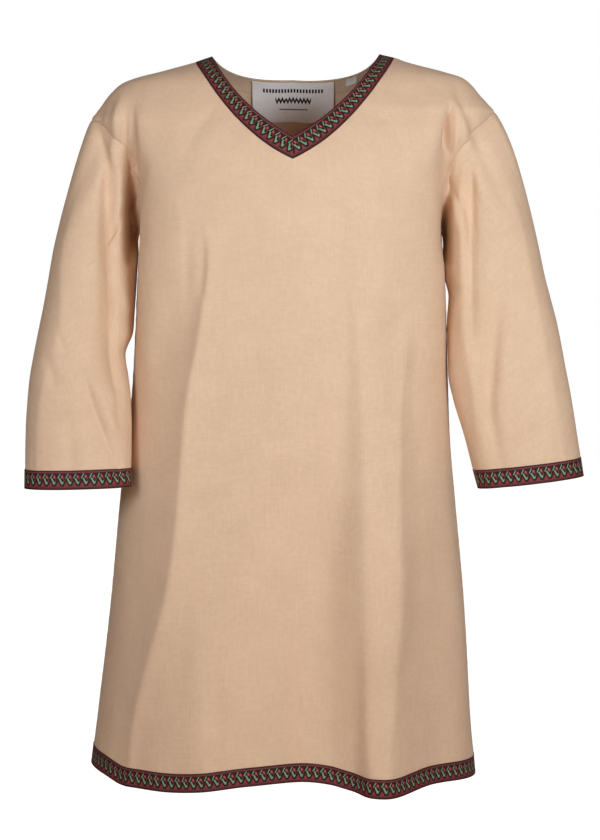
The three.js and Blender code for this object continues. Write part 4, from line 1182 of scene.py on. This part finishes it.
class Graph:
    """Short ways to write a node tree."""

    def __init__(self, tree):
        self.tree = tree

    def node(self, kind, **settings):
        n = self.tree.nodes.new(kind)
        for key, value in settings.items():
            setattr(n, key, value)
        return n

    def link(self, a, b):
        self.tree.links.new(a, b)

    def math(self, operation, a, b=None, c=None):
        n = self.node("ShaderNodeMath", operation=operation)
        for k, value in enumerate((a, b, c)):
            if value is None:
                continue
            if isinstance(value, (int, float)):
                n.inputs[k].default_value = value
            else:
                self.link(value, n.inputs[k])
        return n.outputs[0]

    def noise(self, vector, scale, detail=3, stretch=(1, 1, 1)):
        mapping = self.node("ShaderNodeMapping")
        mapping.inputs["Scale"].default_value = stretch
        self.link(vector, mapping.inputs["Vector"])
        n = self.node("ShaderNodeTexNoise")
        n.inputs["Scale"].default_value = scale
        n.inputs["Detail"].default_value = detail
        n.inputs["Roughness"].default_value = 0.55
        self.link(mapping.outputs[0], n.inputs["Vector"])
        return n.outputs["Fac"]

    def uv(self):
        """The cloth's own width and length, in metres."""
        place = self.node("ShaderNodeUVMap", uv_map="UVMap").outputs[0]
        parts = self.node("ShaderNodeSeparateXYZ")
        self.link(place, parts.inputs[0])
        return place, parts.outputs

    def wave(self, along, length):
        return self.math("SINE", self.math("MULTIPLY", along, 2 * math.pi / length))

    def ramp(self, factor, stops):
        n = self.node("ShaderNodeValToRGB")
        while len(n.color_ramp.elements) < len(stops):
            n.color_ramp.elements.new(0.5)
        for element, (place, colour) in zip(n.color_ramp.elements, stops):
            element.position = place
            element.color = (*colour, 1)
        self.link(factor, n.inputs["Fac"])
        return n.outputs["Color"]

    def bump(self, height, strength, distance):
        n = self.node("ShaderNodeBump")
        n.inputs["Strength"].default_value = strength
        n.inputs["Distance"].default_value = distance
        self.link(height, n.inputs["Height"])
        return n.outputs[0]


def cotton_material(name, colour):
    """Plain-weave cotton: two sets of threads, slubs, a fine nap and slight unevenness of the dye."""
    material, tree, shader = nodes_for(name, colour, 0.88, 0.18, 0.45, 0.22)
    g = Graph(tree)
    uv, (u, v, _) = g.uv()
    thread = 0.00052
    weave = g.math("MULTIPLY", g.wave(u, thread), g.wave(v, thread))
    slub_up = g.noise(uv, 900, 2, (1, 0.03, 1))
    slub_across = g.noise(uv, 900, 2, (0.03, 1, 1))
    slubs = g.math("ADD", slub_up, slub_across)
    blotch = g.noise(uv, 24, 4)
    fine = g.noise(uv, 160, 3)
    dye = g.math("MULTIPLY", g.math("ADD", blotch, fine), 0.26)
    tone = g.math("ADD", g.math("MULTIPLY", slubs, 0.24), dye)
    tone = g.math("ADD", tone, g.math("MULTIPLY", weave, 0.035))
    dark = tuple(c * k for c, k in zip(colour, (0.86, 0.83, 0.80)))
    light = tuple(min(1, c * k) for c, k in zip(colour, (1.08, 1.09, 1.12)))
    g.link(g.ramp(tone, [(0.36, dark), (0.64, colour), (0.92, light)]), shader.inputs["Base Color"])
    height = g.math("ADD", g.math("MULTIPLY", weave, 0.5), g.math("MULTIPLY", slubs, 0.8))
    g.link(g.bump(height, 0.35, 0.00012), shader.inputs["Normal"])
    rough = g.math("ADD", 0.80, g.math("MULTIPLY", fine, 0.14))
    g.link(rough, shader.inputs["Roughness"])
    return material


def braid_material(name, colour, threads=0.00055, along_way=False):
    """Jacquard ribbon: fine corded threads, a little lustre, and a slight change of tone."""
    material, tree, shader = nodes_for(name, colour, 0.62, 0.03, 0.35, 0.2)
    g = Graph(tree)
    uv, (u, v, _) = g.uv()
    first, second = (v, u) if along_way else (u, v)
    cord = g.wave(first, threads)
    picks = g.wave(second, threads * 1.7)
    crossing = g.math("MULTIPLY", g.math("MULTIPLY", cord, picks), 0.4)
    weave = g.math("ADD", g.math("MULTIPLY", cord, 0.6), crossing)
    noise = g.noise(uv, 700, 3)
    tone = g.math("ADD", g.math("MULTIPLY", noise, 0.6), g.math("MULTIPLY", weave, 0.16))
    dark = tuple(c * 0.62 for c in colour)
    light = tuple(min(1, c * 1.35 + 0.004) for c in colour)
    g.link(g.ramp(tone, [(0.12, dark), (0.36, colour), (0.62, light)]), shader.inputs["Base Color"])
    g.link(g.bump(g.math("ADD", weave, noise), 0.5, 0.00012), shader.inputs["Normal"])
    g.link(g.math("ADD", 0.5, g.math("MULTIPLY", noise, 0.25)), shader.inputs["Roughness"])
    return material


def tape_material(name, colour):
    """Smooth label tape, with a slight cross rib."""
    material, tree, shader = nodes_for(name, colour, 0.5, 0.1, 0.3, 0.4)
    g = Graph(tree)
    uv, _ = g.uv()
    fine = g.noise(uv, 1500, 3, (0.2, 1, 1))
    soft = g.noise(uv, 60, 3)
    tone = g.math("ADD", g.math("MULTIPLY", fine, 0.5), g.math("MULTIPLY", soft, 0.5))
    dark = tuple(c * 0.88 for c in colour)
    light = tuple(min(1, c * 1.05) for c in colour)
    g.link(g.ramp(tone, [(0.3, dark), (0.5, colour), (0.75, light)]), shader.inputs["Base Color"])
    g.link(g.bump(fine, 0.25, 0.0001), shader.inputs["Normal"])
    g.link(g.math("ADD", 0.42, g.math("MULTIPLY", fine, 0.2)), shader.inputs["Roughness"])
    return material


def srgb(*levels):
    """A colour of 0 to 255 levels in the shader's linear values."""
    shares = [v / 255 for v in levels]
    return tuple(v / 12.92 if v <= 0.04045 else ((v + 0.055) / 1.055) ** 2.4 for v in shares)


cotton = cotton_material("sand_cotton", (0.765, 0.525, 0.358))
braid_materials = [
    braid_material("braid_ground", srgb(50, 27, 23)),
    braid_material("braid_maroon", srgb(98, 42, 45)),
    braid_material("braid_line", srgb(142, 74, 78)),
    braid_material("braid_green", srgb(130, 162, 132), along_way=True),
    braid_material("braid_pink", srgb(186, 84, 86)),
    braid_material("braid_leg", srgb(124, 52, 54)),
    braid_material("braid_triangle", srgb(148, 56, 60)),
    braid_material("braid_thread", srgb(58, 28, 28), threads=0.0003),
]
tape = tape_material("label_tape", srgb(245, 235, 231))
print_ink = tape_material("label_print", srgb(46, 34, 34))

# ------------------------------------------------------------------ the pieces
pieces = {}
for name in points:
    pieces[name] = make_cloth(name)
    pieces[name].data.materials.append(cotton)


def braid_rows(panel, rows, columns):
    """Points and normals of the strip of a panel that a braid covers, from its upper edge down."""
    return tuple(sheet[panel][rows][::-1, columns] for sheet in (points, normals))


def closed_at_sides(front, back):
    """Front and back strips as one loop: the side seams' two columns become one."""
    loop = []
    for k in range(2):
        f, b = front[k], back[k]
        left, right = (f[:, :1] + b[:, -1:]) / 2, (f[:, -1:] + b[:, :1]) / 2
        loop.append(np.concatenate([left, f[:, 1:-1], right, b[:, 1:-1]], axis=1))
    return loop


all_columns = np.arange(COLUMNS)
hem_rows = slice(0, BRAID_ROWS)
hem_front = braid_rows("front_panel", hem_rows, all_columns)
hem_back = braid_rows("back_panel", hem_rows, all_columns[::-1])
braids = {"hem_braid": (*closed_at_sides(hem_front, hem_back), True)}

neck_rows = slice(TIP_ROW, ROWS)
neck_first, neck_last = SHOULDER_COUNT - 1, COLUMNS - SHOULDER_COUNT
front_left = braid_rows("front_panel", neck_rows, np.arange(neck_first, MIDDLE + 1))
front_right = braid_rows("front_panel", neck_rows, np.arange(MIDDLE, neck_last + 1))
back_round = braid_rows("back_panel", neck_rows, np.arange(neck_last, neck_first - 1, -1))
MITRE_GAP = 0.04       # between the two lengths at the V's tip
front_left[0][:, -1, 0] -= MITRE_GAP / 2
front_right[0][:, 0, 0] += MITRE_GAP / 2
meeting = [(back_round[k][:, -1:] + front_left[k][:, :1]) / 2 for k in range(2)]
long_braid = [np.concatenate([back_round[k][:, :-1], meeting[k], front_left[k][:, 1:]], axis=1)
              for k in range(2)]
braids["neck_braid_long"] = (*long_braid, False)
braids["neck_braid_short"] = (*front_right, False)

for side, way in (("left", 1), ("right", -1)):
    # The ring runs tip, front, underarm, back; the braid runs to the viewer's right across the front.
    cuff = [sheet[side + "_sleeve"][-BRAID_ROWS:, way * np.arange(RING)] for sheet in (points, normals)]
    braids["cuff_braid_" + side] = (*cuff, True)

for name, (grid, out, closed) in braids.items():
    pieces[name] = make_braid(name, grid, out, closed)
    for material in braid_materials:
        pieces[name].data.materials.append(material)


def label_bulge(u, v):
    """How far the label stands off the cotton: it sags, and its lower corners curl."""
    sag = np.sin(np.pi * np.clip(v, 0, 1)) ** 0.8
    curl = v**2 * (0.5 + 0.5 * np.cos(2 * np.pi * u))
    return 0.2 + 1.6 * sag * (0.6 + 0.4 * np.sin(2.2 * np.pi * u + 0.6)) + 2.2 * curl


def size_tab_bulge(u, v):
    return 0.1 + 1.2 * v**2 + 0 * u


LABEL = (100.0, 54.0)
SIZE_TAB = (13, 11)
SIZE_TAB_X = 71
pieces["neck_label"], label_at = make_tag("neck_label_tape", 0, *LABEL, label_bulge)

# Plain marks in place of the real label's print, in millimetres from its upper left corner.
BAR_PITCH, BAR, BAR_TOP, BAR_FOOT = 3.75, 2.3, 9.5, 15
CHEVRON, CHEVRON_TOP, CHEVRON_DROP = 4.4, 20.5, 5
marks = []
for k in range(20):
    x = 13 + k * BAR_PITCH
    marks.append([(x, BAR_TOP), (x + BAR, BAR_TOP), (x + BAR, BAR_FOOT), (x, BAR_FOOT)])
for k in range(10):
    x = 28 + k * CHEVRON
    steps = [(0, 0), (0.5, 1), (1, 0), (1, 1), (0.5, 2), (0, 1)]
    marks.append([(x + a * CHEVRON, CHEVRON_TOP + b * CHEVRON_DROP) for a, b in steps])
marks.append([(33, 36.5), (68, 36.5), (68, 37.7), (33, 37.7)])
pieces["neck_label_marks"] = make_marks("neck_label_marks", label_at, *LABEL, marks)

pieces["size_tab"], _ = make_tag("size_tab_tape", SIZE_TAB_X, *SIZE_TAB, size_tab_bulge)
for name, ink in (("neck_label", tape), ("neck_label_marks", print_ink), ("size_tab", tape)):
    pieces[name].data.materials.append(ink)

for name, piece in pieces.items():
    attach(piece, "root")
    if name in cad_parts:
        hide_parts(name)


# ------------------------------------------------------------------ studio
# A plain pale floor and a world that the camera sees as white. The cloth is lit by two softboxes
# in front, a weak warm one low down, one behind, and a warm glow that comes mostly from the front.
FLOOR_RADIUS, FLOOR_Z = 14, -1.45
floor_mesh = bpy.data.meshes.new("studio_floor")
turns = np.linspace(0, 2 * math.pi, 64, endpoint=False)
rim = [(FLOOR_RADIUS * math.cos(a), FLOOR_RADIUS * math.sin(a), FLOOR_Z) for a in turns]
floor_mesh.from_pydata(rim, [], [tuple(range(len(rim)))])
floor = bpy.data.objects.new("studio_floor", floor_mesh)
bpy.context.scene.collection.objects.link(floor)
floor_material = bpy.data.materials.new("studio_floor")
floor_material.use_nodes = True
floor_shader = floor_material.node_tree.nodes["Principled BSDF"]
floor_shader.inputs["Base Color"].default_value = (0.9, 0.9, 0.9, 1)
floor_shader.inputs["Roughness"].default_value = 0.9
floor_shader.inputs["Emission Color"].default_value = (1, 1, 1, 1)
floor_graph = Graph(floor_material.node_tree)
seen = floor_graph.node("ShaderNodeLightPath").outputs["Is Camera Ray"]
floor_graph.link(seen, floor_shader.inputs["Emission Strength"])
floor_mesh.materials.append(floor_material)

world = bpy.data.worlds.new("studio")
bpy.context.scene.world = world
world.use_nodes = True
g = Graph(world.node_tree)
seen_world = world.node_tree.nodes["Background"]
seen_world.inputs["Color"].default_value = (1, 1, 1, 1)
seen_world.inputs["Strength"].default_value = 1.0
glow = g.node("ShaderNodeBackground")
glow.inputs["Color"].default_value = (1.0, 0.6, 0.38, 1)
direction = g.node("ShaderNodeSeparateXYZ")
g.link(g.node("ShaderNodeTexCoord").outputs["Generated"], direction.inputs[0])
from_right = g.math("MULTIPLY", direction.outputs[0], 0.06)
from_front = g.math("MULTIPLY_ADD", direction.outputs[1], -0.25, from_right)
g.link(g.math("MAXIMUM", g.math("ADD", from_front, 0.12), 0.03), glow.inputs["Strength"])
choose = g.node("ShaderNodeMixShader")
g.link(g.node("ShaderNodeLightPath").outputs["Is Camera Ray"], choose.inputs[0])
g.link(glow.outputs[0], choose.inputs[1])
g.link(seen_world.outputs[0], choose.inputs[2])
g.link(choose.outputs[0], world.node_tree.nodes["World Output"].inputs["Surface"])


def softbox(name, place, target, size, power, colour):
    light = bpy.data.lights.new(name, "AREA")
    light.shape = "RECTANGLE"
    light.size, light.size_y = size
    light.energy = power
    light.color = colour
    lamp = bpy.data.objects.new(name, light)
    lamp.location = place
    lamp.rotation_euler = (Vector(target) - Vector(place)).to_track_quat("-Z", "Y").to_euler()
    bpy.context.scene.collection.objects.link(lamp)


COOL = (0.88, 1.05, 1.15)
softbox("right_softbox", (0.8, -1.34, 0.0), (0, 0, 0.12), (0.6, 0.6), 15.9, COOL)
softbox("left_softbox", (-0.88, -1.34, 0.0), (0, 0, 0.12), (0.6, 0.6), 9.7, COOL)
softbox("low_softbox", (0.1, -1.5, -1.2), (0, 0, -0.8), (0.9, 0.4), 1.5, (1.0, 0.58, 0.33))
softbox("back_softbox", (0.2, 2.3, -0.3), (0, 0, -0.4), (1.2, 1.2), 24, (0.91, 0.985, 1.0))

# ------------------------------------------------------------------ camera
CAMERA = (0.0084, -2.8, -0.292)
LOOKS_DOWN = 2.895                     # degrees
camera_data = bpy.data.cameras.new("camera")
camera_data.lens = 100
camera_data.sensor_width = 36
camera = bpy.data.objects.new("camera", camera_data)
camera.location = CAMERA
camera.rotation_euler = (math.radians(90 - LOOKS_DOWN), 0, 0)
bpy.context.scene.collection.objects.link(camera)
bpy.context.scene.camera = camera
bpy.context.scene.view_settings.view_transform = "Standard"
